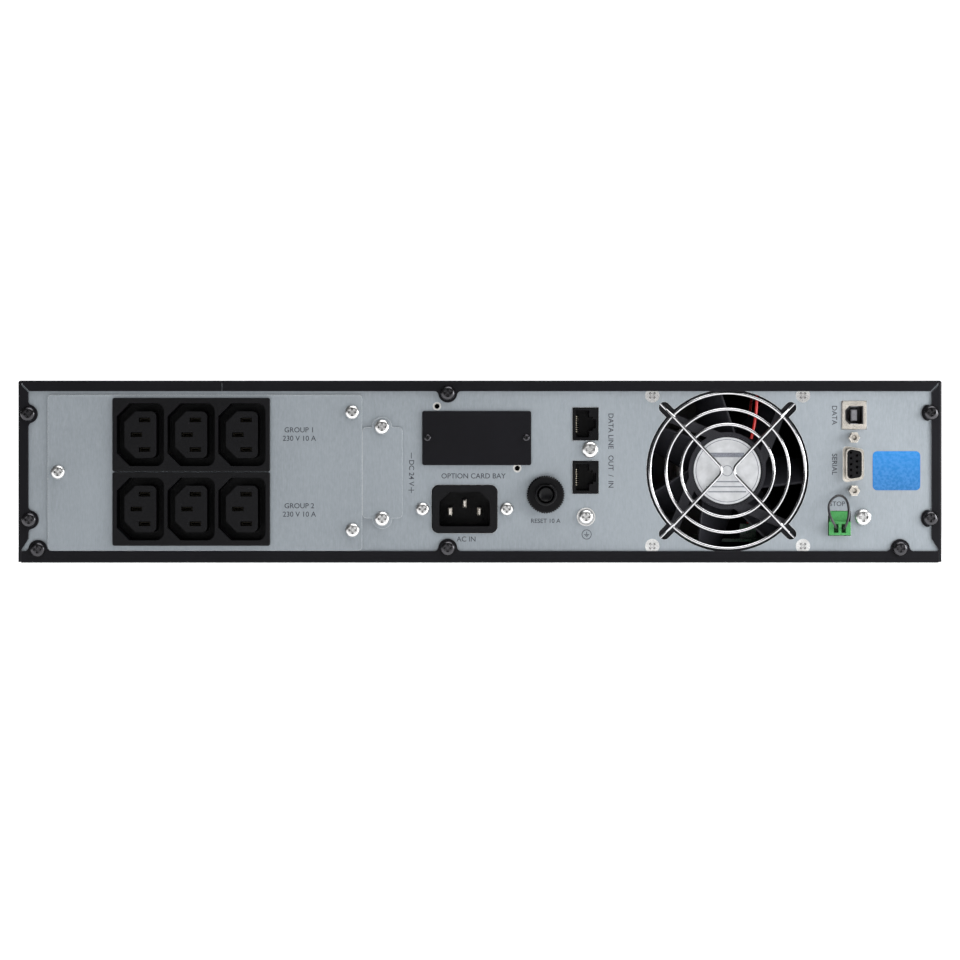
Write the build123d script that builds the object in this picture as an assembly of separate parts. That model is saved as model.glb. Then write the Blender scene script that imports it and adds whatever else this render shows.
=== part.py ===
from build123d import *
import math
import os

# A 2U rack-mount uninterruptible power supply.
# X runs across the unit, Y from the connector panel (rear, -Y) to the display (front, +Y), Z is up.
# The origin is the middle of the footprint, on the surface that the unit stands on.

os.makedirs("parts", exist_ok=True)

# ---------------------------------------------------------------- overall sizes (mm)
CASE_WIDTH = 438.0
CASE_HEIGHT = 86.5
CASE_DEPTH = 388.0          # rear flange face to the front edge of the sheet-metal case
BEZEL_DEPTH = 22.0
SHEET = 1.2                 # painted steel of the case
PANEL_SHEET = 1.0           # galvanised steel of the rear panel
BEND = 1.0                  # outer bend radius of the case
SLIP = 0.2                  # gap between sheet parts that slide together

# ---------------------------------------------------------------- rear flanges and seams
TOP_FLANGE = 5.1
BOTTOM_FLANGE = 5.6
SIDE_FLANGE = 4.8
SIDE_FLANGE_FOOT = 5.7      # height where the tapered foot of a side flange meets the wall
SIDE_FLANGE_TAPER = 11.5    # height where that taper starts
WALL_LIFT = 0.4             # the side walls end this far above the standing surface
SEAM_X = -122.4             # joint between the battery bay cover and the top cover
SEAM_GAP = 0.3
MITRE_GAP = 0.8
EAR_RADIUS = 4.5
EAR_FILLET = 2.0
EAR_HOLE = 3.4

# ---------------------------------------------------------------- places along Y
BREAKER_STICKOUT = 9.0      # the breaker bushing is what stands out furthest at the rear
OVERALL_DEPTH = BREAKER_STICKOUT + CASE_DEPTH + BEZEL_DEPTH
REAR_Y = -OVERALL_DEPTH / 2 + BREAKER_STICKOUT
PANEL_OUT = REAR_Y + SHEET
PANEL_IN = PANEL_OUT + PANEL_SHEET
FRONT_Y = REAR_Y + CASE_DEPTH
BEZEL_Y = FRONT_Y + BEZEL_DEPTH
HALF = CASE_WIDTH / 2
INNER_HALF = HALF - SHEET
CEILING = CASE_HEIGHT - SHEET

# ---------------------------------------------------------------- screws
CASE_SCREW_HEAD = 7.0
PANEL_SCREW_HEAD = 6.8
LARGE_SCREW_HEAD = 8.0
M3_SHANK = 2.9
M3_HOLE = 3.0
SCREW_REACH = 5.0

# rear screws in the flange ears: (x, z)
CASE_SCREW_SIDES = [(-HALF + 4.7, CASE_HEIGHT - 15.9), (-HALF + 5.2, 20.4),
                    (HALF - 5.1, CASE_HEIGHT - 15.3), (HALF - 5.4, 21.1)]
CASE_SCREW_BOTTOM = [(-HALF + 9.3, 6.4), (-15.3, 7.0), (HALF - 19.7, 6.8)]
CASE_SCREW_TOP = [(-15.3, CASE_HEIGHT - 6.0)]


# ---------------------------------------------------------------- helpers
def block(x0, x1, y0, y1, z0, z1):
    """A block between two corners."""
    return Pos((x0 + x1) / 2, (y0 + y1) / 2, (z0 + z1) / 2) * Box(x1 - x0, y1 - y0, z1 - z0)


def slab(outline, y0, y1):
    """An outline drawn in X and Z, made solid from y0 to y1."""
    rear_view = Plane(origin=(0, y1, 0), x_dir=(1, 0, 0), z_dir=(0, -1, 0))
    return extrude(rear_view * outline, amount=y1 - y0, dir=(0, -1, 0))


def rod(x, z, y0, y1, diameter):
    """A round bar along Y."""
    return Pos(x, (y0 + y1) / 2, z) * Rot(90, 0, 0) * Cylinder(diameter / 2, y1 - y0)


def upright(x, y, z0, z1, diameter):
    """A round bar along Z."""
    return Pos(x, y, (z0 + z1) / 2) * Cylinder(diameter / 2, z1 - z0)


def cross_bar(x0, x1, y, z, diameter):
    """A round bar along X."""
    return Pos((x0 + x1) / 2, y, z) * Rot(0, 90, 0) * Cylinder(diameter / 2, abs(x1 - x0))


def outline(*points):
    """A closed outline with straight sides."""
    return Polygon(*points, align=None)


def rounded(width, height, radius):
    """A rectangle with round corners, centred."""
    return RectangleRounded(width, height, radius)


def edges_at(part, axis, **place):
    """Straight edges along one axis whose middle lies at the given coordinates."""
    found = part.edges().filter_by(axis)
    for name, value in place.items():
        found = found.filter_by(lambda edge: abs(getattr(edge.center(), name) - value) < 0.02)
    return found


def bored(part, places, y0, y1, diameter):
    """The part with round holes along Y at each (x, z)."""
    for x, z in places:
        part -= rod(x, z, y0, y1, diameter)
    return part


def pan_screw(x, z, seat_y, head, shank=M3_SHANK, reach=SCREW_REACH):
    """A cross-recessed pan head screw whose head rests on seat_y and points to the rear."""
    head_height = head * 0.32
    body = rod(x, z, seat_y - head_height, seat_y, head)
    rim = body.faces().sort_by(Axis.Y)[0].edges()
    body = fillet(rim, head_height * 0.7)
    arm = head * 0.54
    slot = head * 0.15
    depth = head_height * 0.75
    body -= block(x - arm / 2, x + arm / 2, seat_y - head_height, seat_y - head_height + depth,
                  z - slot / 2, z + slot / 2)
    body -= block(x - slot / 2, x + slot / 2, seat_y - head_height, seat_y - head_height + depth,
                  z - arm / 2, z + arm / 2)
    return body + rod(x, z, seat_y, seat_y + reach, shank)


def save(name, *pieces):
    """Write one node; several pieces stay separate solids."""
    solids = []
    for piece in pieces:
        solids.extend(piece.solids())
    shape = solids[0] if len(solids) == 1 else Compound(children=solids)
    export_step(shape, f"parts/{name}.step")


# ---------------------------------------------------------------- case
def soften_ears(flange, ears, inner_line):
    """Round the concave corners where the ears meet the inner line of a flange."""
    corners = []
    for x, z in ears:
        for vertex in flange.vertices():
            near = abs(vertex.X - x) < EAR_RADIUS + 0.05 and abs(vertex.Y - z) < EAR_RADIUS + 0.05
            on_line = abs(getattr(vertex, inner_line[0]) - inner_line[1]) < 0.02
            if near and on_line:
                corners.append(vertex)
    return fillet(corners, EAR_FILLET) if corners else flange


def side_flange(sign):
    """The folded flange of one side wall, with its tapered foot and two ears."""
    edge = sign * HALF
    inner = sign * (HALF - SIDE_FLANGE)
    strip = outline(
        (edge, WALL_LIFT),
        (edge - sign * SHEET, WALL_LIFT),
        (edge - sign * SHEET, SIDE_FLANGE_FOOT),
        (inner, SIDE_FLANGE_TAPER),
        (inner, CASE_HEIGHT - TOP_FLANGE),
        (edge, CASE_HEIGHT - TOP_FLANGE),
    )
    places = [place for place in CASE_SCREW_SIDES if place[0] * sign > 0]
    for x, z in places:
        strip += Pos(x, z) * Circle(EAR_RADIUS)
    return soften_ears(strip, places, ("X", inner))


def top_flange(x0, x1):
    """The folded flange of the top between two X places, with its ears."""
    strip = outline((x0, CASE_HEIGHT - TOP_FLANGE), (x1, CASE_HEIGHT - TOP_FLANGE),
                    (x1, CASE_HEIGHT), (x0, CASE_HEIGHT))
    places = [place for place in CASE_SCREW_TOP if x0 < place[0] < x1]
    for x, z in places:
        strip += Pos(x, z) * Circle(EAR_RADIUS)
    return soften_ears(strip, places, ("Y", CASE_HEIGHT - TOP_FLANGE))


def mitre_cut(sign):
    """The slit between the top flange and a side flange, with its relief hole."""
    inner_x = sign * (HALF - SIDE_FLANGE)
    inner_z = CASE_HEIGHT - TOP_FLANGE
    reach = 3.3
    end_x = inner_x + sign * reach
    end_z = inner_z + reach
    lean = MITRE_GAP / 2 * math.sqrt(0.5)
    slit = outline(
        (inner_x - sign * (1 + lean), inner_z - 1 + lean),
        (inner_x - sign * (1 - lean), inner_z - 1 - lean),
        (end_x + sign * lean, end_z - lean),
        (end_x - sign * lean, end_z + lean),
    )
    return slab(slit + Pos(end_x, end_z) * Circle(MITRE_GAP * 0.8), REAR_Y - 1, PANEL_OUT + 0.01)


EAR_MOUNT_Y = FRONT_Y - 42.0       # middle of the rack-ear screw pattern
EAR_MOUNT_PITCH_Y = 40.0
EAR_MOUNT_PITCH_Z = 50.0
EAR_MOUNT_Z = CASE_HEIGHT / 2
EAR_THREAD = 3.3                   # M4 tapping size
NUT_OUTER = 7.0
NUT_SHANK = 5.4                     # collar that fills the hole in the wall
NUT_HEIGHT = 2.5


def rack_ear_places():
    """Y and Z of the four rack-ear screws on one side."""
    places = []
    for y_side in (-1, 1):
        for z_side in (-1, 1):
            places.append((EAR_MOUNT_Y + y_side * EAR_MOUNT_PITCH_Y / 2,
                           EAR_MOUNT_Z + z_side * EAR_MOUNT_PITCH_Z / 2))
    return places


VENT_COUNT = 14
VENT_PITCH = 9.0
VENT_WIDTH = 4.6
VENT_HEIGHT = 30.0
VENT_Y = 20.0                      # middle of the side vents
VENT_Z = 45.0


def side_vents(sign):
    """A row of upright slots through one side wall."""
    cuts = None
    for index in range(VENT_COUNT):
        y = VENT_Y + (index - (VENT_COUNT - 1) / 2) * VENT_PITCH
        slot = SlotCenterToCenter(VENT_HEIGHT - VENT_WIDTH, VENT_WIDTH, rotation=90)
        side_view = Plane(origin=(sign * (HALF - SHEET - 1), y, VENT_Z), x_dir=(0, 1, 0),
                          z_dir=(1, 0, 0))
        cut = extrude(side_view * slot, amount=sign * (SHEET + 2))
        cuts = cut if cuts is None else cuts + cut
    return cuts


def cover(sign, x_seam):
    """One L-shaped cover: part of the top, a side wall and the folded rear flanges."""
    x0, x1 = sorted((x_seam, sign * HALF))
    top = block(x0, x1, REAR_Y, FRONT_Y, CEILING, CASE_HEIGHT)
    wall_in, wall_out = sorted((sign * INNER_HALF, sign * HALF))
    wall = block(wall_in, wall_out, REAR_Y, FRONT_Y, WALL_LIFT, CASE_HEIGHT)
    flange = slab(top_flange(x0, x1) + side_flange(sign), REAR_Y, PANEL_OUT)
    body = top + wall + flange
    outer = edges_at(body, Axis.Y, X=sign * HALF, Z=CASE_HEIGHT)
    outer += edges_at(body, Axis.X, Y=REAR_Y, Z=CASE_HEIGHT)
    outer += edges_at(body, Axis.Z, X=sign * HALF, Y=REAR_Y)
    body = fillet(outer, BEND)
    body -= mitre_cut(sign)
    screws = [place for place in CASE_SCREW_SIDES if place[0] * sign > 0]
    screws += [place for place in CASE_SCREW_TOP if x0 < place[0] < x1]
    body = bored(body, screws, REAR_Y - 1, PANEL_OUT + 1, EAR_HOLE)
    for y, z in rack_ear_places():
        body -= cross_bar(wall_in - 1, wall_out + 1, y, z, NUT_SHANK)
    if sign > 0:
        body -= side_vents(sign)
    return body


def ear_nuts():
    """Self-clinching nuts behind the rack-ear holes of both side walls."""
    nuts = []
    for sign in (-1, 1):
        for y, z in rack_ear_places():
            nut = cross_bar(sign * (INNER_HALF - NUT_HEIGHT), sign * INNER_HALF, y, z, NUT_OUTER)
            nut += cross_bar(sign * INNER_HALF, sign * HALF, y, z, NUT_SHANK)
            nut -= cross_bar(sign * (INNER_HALF - NUT_HEIGHT - 1), sign * (HALF + 1), y, z, EAR_THREAD)
            nuts.append(nut)
    return nuts


PAN_HALF = INNER_HALF - SLIP
PAN_LIP = 12.0
FRONT_WALL_TOP = CEILING - SLIP
DISPLAY_X = 60.0                   # middle of the display
DISPLAY_Z = 50.0
DISPLAY_WIDTH = 66.0
DISPLAY_HEIGHT = 34.0
BUTTON_X = (112.0, 130.0, 148.0)
BUTTON_Z = DISPLAY_Z
GRILLE_X = -110.0


def base_pan():
    """The floor with a rear flange, side lips and the inner front wall."""
    floor = block(-PAN_HALF, PAN_HALF, REAR_Y, FRONT_Y, 0, SHEET)
    strip = outline((-PAN_HALF, 0), (PAN_HALF, 0), (PAN_HALF, BOTTOM_FLANGE),
                    (-PAN_HALF, BOTTOM_FLANGE))
    for x, z in CASE_SCREW_BOTTOM:
        strip += Pos(x, z) * Circle(EAR_RADIUS)
    strip = soften_ears(strip, CASE_SCREW_BOTTOM, ("Y", BOTTOM_FLANGE))
    body = floor + slab(strip, REAR_Y, PANEL_OUT)
    body += block(-PAN_HALF, PAN_HALF, FRONT_Y - SHEET, FRONT_Y, 0, FRONT_WALL_TOP)
    for sign in (-1, 1):
        lip_out, lip_in = sign * PAN_HALF, sign * (PAN_HALF - SHEET)
        x0, x1 = sorted((lip_out, lip_in))
        body += block(x0, x1, PANEL_IN + 2, FRONT_Y, 0, PAN_LIP)
    body = fillet(edges_at(body, Axis.X, Y=REAR_Y, Z=0), BEND)
    body = bored(body, CASE_SCREW_BOTTOM, REAR_Y - 1, PANEL_OUT + 1, EAR_HOLE)
    opening = block(DISPLAY_X - DISPLAY_WIDTH / 2 - 4, BUTTON_X[-1] + 14, FRONT_Y - 3, FRONT_Y + 1,
                    DISPLAY_Z - DISPLAY_HEIGHT / 2 - 4, DISPLAY_Z + DISPLAY_HEIGHT / 2 + 4)
    body -= opening
    intake = block(GRILLE_X - 70, GRILLE_X + 70, FRONT_Y - 3, FRONT_Y + 1, 20, 66)
    return body - intake


def case_screws():
    """The eight black screws that hold the rear flanges to the panel."""
    places = CASE_SCREW_SIDES + CASE_SCREW_BOTTOM + CASE_SCREW_TOP
    return [pan_screw(x, z, REAR_Y, CASE_SCREW_HEAD) for x, z in places]


# ---------------------------------------------------------------- mains outlets
PLATE_X = (-205.0, -55.9)
PLATE_Z = (BOTTOM_FLANGE + 0.2, 79.7)
PLATE_RADIUS = 2.0
PLATE_SCREWS = [(-200.1, 43.0), (-60.6, 71.4), (-60.4, 15.5)]
PLATE_OUT = PANEL_OUT - PANEL_SHEET

OUTLET_BLOCK_X = -136.85
OUTLET_BLOCK_Z = {"upper": 60.75, "lower": 25.55}
OUTLET_BLOCK_SIZE = (74.7, 34.9)
OUTLET_PITCH = 24.05
OUTLETS_PER_BLOCK = 3
BLOCK_PROUD = 2.0
BLOCK_DEPTH = 24.0
BLOCK_SNAP = 1.6                   # how far the flange laps over the plate, each side
ISLAND = (15.0, 22.0)
SOCKET = (22.5, 29.8)
SOCKET_DEPTH = 16.0
CONTACT_SLOT = (5.5, 2.2)
CONTACT_DEPTH = 14.0
CONTACT_PLACES = [(2.0, 7.0), (2.0, -7.0), (-1.9, 0.0)]


def socket_outline(size, cut_corner, round_corner):
    """An outlet outline: two cut corners on the left, two round ones on the right."""
    width, height = size
    shape = Rectangle(width, height)
    shape = chamfer(shape.vertices().filter_by(lambda corner: corner.X < 0), cut_corner)
    right = shape.vertices().filter_by(lambda corner: corner.X > width / 2 - 0.01)
    return fillet(right, round_corner)


def outlet_centres(level):
    """The three outlet centres of one block."""
    middle = (OUTLETS_PER_BLOCK - 1) / 2
    return [(OUTLET_BLOCK_X + (index - middle) * OUTLET_PITCH, OUTLET_BLOCK_Z[level])
            for index in range(OUTLETS_PER_BLOCK)]


def outlet_block(level):
    """A moulded block of three outlets with a flange on the plate and a body behind."""
    width, height = OUTLET_BLOCK_SIZE
    place = Pos(OUTLET_BLOCK_X, OUTLET_BLOCK_Z[level])
    face_y = PLATE_OUT - BLOCK_PROUD
    body = slab(place * rounded(width, height, 1.0), face_y, PLATE_OUT)
    body = fillet(body.faces().sort_by(Axis.Y)[0].edges(), 0.5)
    behind = rounded(width - 2 * BLOCK_SNAP, height - 2 * BLOCK_SNAP, 1.0)
    body += slab(place * behind, PLATE_OUT, face_y + BLOCK_DEPTH)
    for x, z in outlet_centres(level):
        at_outlet = Pos(x, z)
        groove = socket_outline(SOCKET, 6.1, 3.9) - socket_outline(ISLAND, 5.2, 2.5)
        body -= slab(at_outlet * groove, face_y - 1, face_y + SOCKET_DEPTH)
        for slot_x, slot_z in CONTACT_PLACES:
            slot = Pos(slot_x, slot_z) * Rectangle(*CONTACT_SLOT)
            body -= slab(at_outlet * slot, face_y - 1, face_y + CONTACT_DEPTH)
    return body


def outlet_contacts():
    """Spring contacts at the bottom of every outlet slot."""
    pieces = []
    face_y = PLATE_OUT - BLOCK_PROUD
    for level in OUTLET_BLOCK_Z:
        for x, z in outlet_centres(level):
            for slot_x, slot_z in CONTACT_PLACES:
                leaf = rounded(CONTACT_SLOT[0] - 0.6, CONTACT_SLOT[1] - 0.6, 0.5)
                gap = Rectangle(CONTACT_SLOT[0] - 1.8, CONTACT_SLOT[1] - 1.4)
                place = Pos(x + slot_x, z + slot_z)
                piece = slab(place * leaf, face_y + 3, face_y + CONTACT_DEPTH)
                piece -= slab(place * gap, face_y + 2, face_y + CONTACT_DEPTH - 2)
                pieces.append(piece)
    return pieces


def block_openings(margin):
    """The two rectangular cut-outs that the outlet blocks pass through."""
    width, height = OUTLET_BLOCK_SIZE
    opening = None
    for z in OUTLET_BLOCK_Z.values():
        hole = Pos(OUTLET_BLOCK_X, z) * Rectangle(width - 2 * BLOCK_SNAP + 2 * margin,
                                                  height - 2 * BLOCK_SNAP + 2 * margin)
        opening = hole if opening is None else opening + hole
    return opening


def outlet_plate():
    """The small plate that carries both outlet blocks."""
    x0, x1 = PLATE_X
    z0, z1 = PLATE_Z
    face = Pos((x0 + x1) / 2, (z0 + z1) / 2) * rounded(x1 - x0, z1 - z0, PLATE_RADIUS)
    body = slab(face - block_openings(0.1), PLATE_OUT, PANEL_OUT)
    return bored(body, PLATE_SCREWS, PLATE_OUT - 1, PANEL_OUT + 1, M3_HOLE)


# ---------------------------------------------------------------- battery port
PORT_CENTRE = (-46.3, 42.8)
PORT_SIZE = (19.0, 43.2)
PORT_SCREWS = [(-46.5, 64.5), (-46.4, 20.9)]
PORT_OPENING = (15.0, 36.0)
PORT_HOUSING = (14.4, 35.2)


def battery_port_cover():
    """The blanking plate over the external battery socket, with an ear at each end."""
    x, z = PORT_CENTRE
    face = Pos(x, z) * rounded(*PORT_SIZE, 2.0)
    for screw_x, screw_z in PORT_SCREWS:
        face += Pos(screw_x, screw_z) * Circle(4.7)
    body = slab(face, PLATE_OUT, PANEL_OUT)
    return bored(body, PORT_SCREWS, PLATE_OUT - 1, PANEL_OUT + 1, M3_HOLE)


def battery_port_connector():
    """The two-pole high-current connector behind the blanking plate."""
    x, z = PORT_CENTRE
    body = slab(Pos(x, z) * rounded(*PORT_HOUSING, 1.5), PANEL_OUT + 0.2, PANEL_IN + 32)
    body += slab(Pos(x, z) * Rectangle(PORT_HOUSING[0] + 4, PORT_HOUSING[1] - 6), PANEL_IN, PANEL_IN + 3)
    for side in (-1, 1):
        pole = Pos(x, z + side * 8.8) * rounded(10.0, 13.0, 1.0)
        body -= slab(pole, PANEL_OUT, PANEL_IN + 20)
    return body


def battery_port_contacts():
    """The two copper contacts inside the connector."""
    x, z = PORT_CENTRE
    return [slab(Pos(x, z + side * 8.8) * Rectangle(2.4, 8.0), PANEL_IN + 6, PANEL_IN + 20)
            for side in (-1, 1)]


# ---------------------------------------------------------------- card slot
SLOT_CENTRE = (-1.55, 59.15)
SLOT_COVER = (51.7, 25.7)
SLOT_COVER_SHEET = 1.5
SLOT_OPENING = (44.0, 21.0)
SLOT_SCREWS = [(-24.9, 59.3), (21.9, 59.3)]
SLOT_SCREW_HEAD = 3.4
SLOT_NUTS = [(-20.4, 74.3), (17.7, 44.9)]
SLOT_NUT_RIM = 3.8
SLOT_NUT_HOLE = 2.4
CARD_LENGTH = 70.0


def slot_cover():
    """The black blanking plate of the expansion slot."""
    body = slab(Pos(*SLOT_CENTRE) * rounded(*SLOT_COVER, 1.0), PANEL_OUT - SLOT_COVER_SHEET, PANEL_OUT)
    body = fillet(body.faces().sort_by(Axis.Y)[0].edges(), 0.3)
    return bored(body, SLOT_SCREWS, PLATE_OUT - 2, PANEL_OUT + 1, 2.2)


def slot_nuts():
    """Two small clinch nuts pressed into the panel beside the slot."""
    nuts = []
    for x, z in SLOT_NUTS:
        nut = rod(x, z, PANEL_OUT, PANEL_IN, SLOT_NUT_RIM) + rod(x, z, PANEL_IN, PANEL_IN + 2, 5.4)
        nuts.append(nut - rod(x, z, PANEL_OUT - 1, PANEL_IN + 3, SLOT_NUT_HOLE))
    return nuts


def card_guides():
    """The two grooved rails that an expansion card slides into."""
    x, z = SLOT_CENTRE
    rails = []
    for side in (-1, 1):
        rail_x = x + side * (SLOT_OPENING[0] / 2 + 1.6)
        x0, x1 = rail_x - 2.0, rail_x + 2.0
        rail = block(x0, x1, PANEL_IN, PANEL_IN + CARD_LENGTH, z - 5, z + 3)
        groove_x = sorted((rail_x - side * 2.5, rail_x + side * 0.2))
        rail -= block(groove_x[0], groove_x[1], PANEL_IN - 1, PANEL_IN + CARD_LENGTH + 1,
                      z - 3, z - 1.2)
        rails.append(bored(rail, SLOT_SCREWS, PANEL_IN - 1, PANEL_IN + 5, 2.0))
    return rails


# ---------------------------------------------------------------- mains inlet
INLET_CENTRE = (-7.3, 25.5)
INLET_BEZEL = (31.2, 22.9)
INLET_BEZEL_RADIUS = 3.5
INLET_PROUD = 1.2
INLET_CAVITY = (24.0, 16.4)
INLET_CUT = 4.8
INLET_DEPTH = 17.0
INLET_SCREW_PITCH = 40.0
INLET_SCREWS = [(INLET_CENTRE[0] + side * INLET_SCREW_PITCH / 2, INLET_CENTRE[1]) for side in (-1, 1)]
INLET_PINS = [(-7.0, -1.2), (7.0, -1.2), (0.0, 2.6)]


def inlet_body():
    """The moulded mains inlet: collar through the panel, flange and socket behind it."""
    place = Pos(*INLET_CENTRE)
    collar_y = PANEL_OUT - INLET_PROUD
    body = slab(place * rounded(*INLET_BEZEL, INLET_BEZEL_RADIUS), collar_y, PANEL_IN)
    body = fillet(body.faces().sort_by(Axis.Y)[0].edges(), 0.6)
    body += slab(place * rounded(INLET_SCREW_PITCH + 10, INLET_BEZEL[1], 4.0), PANEL_IN, PANEL_IN + 3)
    body += slab(place * rounded(27.4, 19.8, 2.0), PANEL_IN + 3, collar_y + INLET_DEPTH + 3)
    cavity = Rectangle(*INLET_CAVITY)
    cavity = chamfer(cavity.vertices().filter_by(lambda corner: corner.Y > 0), INLET_CUT)
    low = cavity.vertices().filter_by(lambda corner: corner.Y < -INLET_CAVITY[1] / 2 + 0.01)
    cavity = fillet(low, 1.0)
    body -= slab(place * cavity, collar_y - 1, collar_y + INLET_DEPTH)
    return bored(body, INLET_SCREWS, PANEL_IN - 1, PANEL_IN + 4, M3_HOLE)


def inlet_pins():
    """Line, neutral and earth blades of the inlet."""
    pins = []
    start = PANEL_OUT - INLET_PROUD + 3.5
    for x, z in INLET_PINS:
        blade = slab(Pos(INLET_CENTRE[0] + x, INLET_CENTRE[1] + z) * Rectangle(2.0, 4.0), start,
                     PANEL_OUT - INLET_PROUD + INLET_DEPTH)
        pins.append(chamfer(blade.faces().sort_by(Axis.Y)[0].edges(), 0.6))
    return pins


# ---------------------------------------------------------------- circuit breaker
BREAKER = (31.1, 32.4)
BUSHING = 10.5
BUSHING_BORE = 8.3
BREAKER_BUTTON = 7.1
BUTTON_STEM = 4.0
STEM_FIT = 0.06                    # radial running clearance of a stem in its bore
NUT_ROUND = 18.0
NUT_FACE = 16.2
NUT_THICK = 4.5
NUT_TEETH = 48
BREAKER_TRAVEL = 3.5
BREAKER_TIP = REAR_Y - BREAKER_STICKOUT


def breaker_body():
    """The breaker housing behind the panel and its threaded bushing through it."""
    x, z = BREAKER
    body = block(x - 7.5, x + 7.5, PANEL_IN, PANEL_IN + 30, z - 14, z + 14)
    body = fillet(body.edges().filter_by(Axis.Y), 1.0)
    bushing = rod(x, z, BREAKER_TIP, PANEL_IN + 1, BUSHING)
    bushing = chamfer(bushing.faces().sort_by(Axis.Y)[0].edges(), 0.5)
    bushing -= block(x - 6, x + 6, BREAKER_TIP - 1, PANEL_OUT - 1, z + BUSHING / 2 - 0.7, z + 8)
    body += bushing
    body -= rod(x, z, BREAKER_TIP - 1, PANEL_IN + 12, BUSHING_BORE)
    return body - rod(x, z, PANEL_IN + 11, PANEL_IN + 24, BUTTON_STEM + 2 * STEM_FIT)


def breaker_nut():
    """The round knurled nut that clamps the bushing to the panel."""
    x, z = BREAKER
    nut = rod(x, z, PANEL_OUT - NUT_THICK, PANEL_OUT, NUT_ROUND)
    nut = chamfer(nut.faces().sort_by(Axis.Y)[0].edges(), (NUT_ROUND - NUT_FACE) / 2)
    for index in range(NUT_TEETH):
        turn = 360 / NUT_TEETH * index
        groove = Rot(0, turn, 0) * Pos(NUT_ROUND / 2, 0, 0) * Rot(0, 45, 0) * Box(0.7, 3 * NUT_THICK, 0.7)
        nut -= Pos(x, PANEL_OUT, z) * groove
    return nut - rod(x, z, PANEL_OUT - NUT_THICK - 1, PANEL_OUT + 1, BUSHING)


def breaker_button():
    """The reset button with its stem; it springs out when the breaker trips."""
    x, z = BREAKER
    face_y = BREAKER_TIP + 0.8
    button = rod(x, z, face_y, PANEL_IN + 10, BREAKER_BUTTON)
    rim = button.faces().sort_by(Axis.Y)[0].edges()
    button = fillet(rim, 0.5)
    dish = Pos(x, face_y - 6.2, z) * Sphere(6.9)
    return button - dish + rod(x, z, PANEL_IN + 10, PANEL_IN + 22, BUTTON_STEM)


def breaker_terminals():
    """The two quick-connect tabs at the back of the breaker."""
    x, z = BREAKER
    return [block(x - 3.15, x + 3.15, PANEL_IN + 30, PANEL_IN + 38, z + side * 8 - 0.4, z + side * 8 + 0.4)
            for side in (-1, 1)]


# ---------------------------------------------------------------- data line jacks
JACK_X = 50.1
JACK_Z = {"upper": 65.9, "lower": 40.6}
JACK_SIZE = (12.2, 15.5)
JACK_PROUD = 0.6
JACK_DEPTH = 18.0
JACK_CAVITY_DEPTH = 14.0
JACK_SCREW = (52.2, 53.7)
JACK_CONTACTS = 8
JACK_CONTACT_PITCH = 1.02
SURGE_BOARD_SHEET = 1.6
SURGE_BOARD_DEPTH = 48.0


def jack_cavity():
    """The plug cavity of a jack: main space, then two narrower steps for the latch."""
    main = Pos(-1.45, 0) * Rectangle(6.3, 12.8)
    step = Pos(2.6, 0) * Rectangle(2.0, 6.5)
    tip = Pos(4.2, 0) * Rectangle(1.4, 4.3)
    return main + step + tip


def data_jack(level):
    """One eight-way jack, turned so that its contacts lie on the left."""
    place = Pos(JACK_X, JACK_Z[level])
    face_y = PANEL_OUT - JACK_PROUD
    body = slab(place * rounded(*JACK_SIZE, 0.6), face_y, face_y + JACK_DEPTH)
    return body - slab(place * jack_cavity(), face_y - 1, face_y + JACK_CAVITY_DEPTH)


def data_jack_contacts():
    """The eight slanting gold wires of each jack."""
    wires = []
    face_y = PANEL_OUT - JACK_PROUD
    left = JACK_X - 4.6
    for z in JACK_Z.values():
        for index in range(JACK_CONTACTS):
            wire_z = z + (index - (JACK_CONTACTS - 1) / 2) * JACK_CONTACT_PITCH
            profile = Polygon((left, face_y + 1.5), (left + 0.4, face_y + 1.5),
                              (left + 1.5, face_y + JACK_CAVITY_DEPTH),
                              (left, face_y + JACK_CAVITY_DEPTH), align=None)
            wires.append(extrude(Pos(0, 0, wire_z - 0.22) * profile, amount=0.44))
    return wires


def surge_board():
    """The small upright circuit board that carries both jacks."""
    x = JACK_X + JACK_SIZE[0] / 2
    return block(x, x + SURGE_BOARD_SHEET, PANEL_IN + 1, PANEL_IN + SURGE_BOARD_DEPTH, 31, 76)


def surge_bracket():
    """The bent tab between the jacks that the silver screw holds to the panel."""
    x, z = JACK_SCREW
    right = JACK_X + JACK_SIZE[0] / 2
    tab = block(x - 4.0, right, PANEL_IN, PANEL_IN + 1.0, z - 3.8, z + 3.8)
    tab += block(right - 1.0, right, PANEL_IN, PANEL_IN + 14, z - 3.8, z + 3.8)
    return bored(tab, [JACK_SCREW], PANEL_IN - 1, PANEL_IN + 2, M3_HOLE)


# ---------------------------------------------------------------- ground screw
GROUND = (50.3, 21.8)
GROUND_HEAD = 8.7
GROUND_STUD = 3.9                  # M4 shank
GROUND_HOLE = 4.0


def ground_screw():
    """The earth screw with its captive washer."""
    x, z = GROUND
    washer = rod(x, z, PANEL_OUT - 0.8, PANEL_OUT, GROUND_HEAD)
    return washer + pan_screw(x, z, PANEL_OUT - 0.8, 7.0, shank=GROUND_STUD, reach=9.0)


def ground_nut():
    """The clinch nut behind the panel that the earth screw turns into."""
    x, z = GROUND
    return rod(x, z, PANEL_IN, PANEL_IN + 4, 8.0) - rod(x, z, PANEL_IN - 1, PANEL_IN + 5, GROUND_HOLE)


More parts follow.
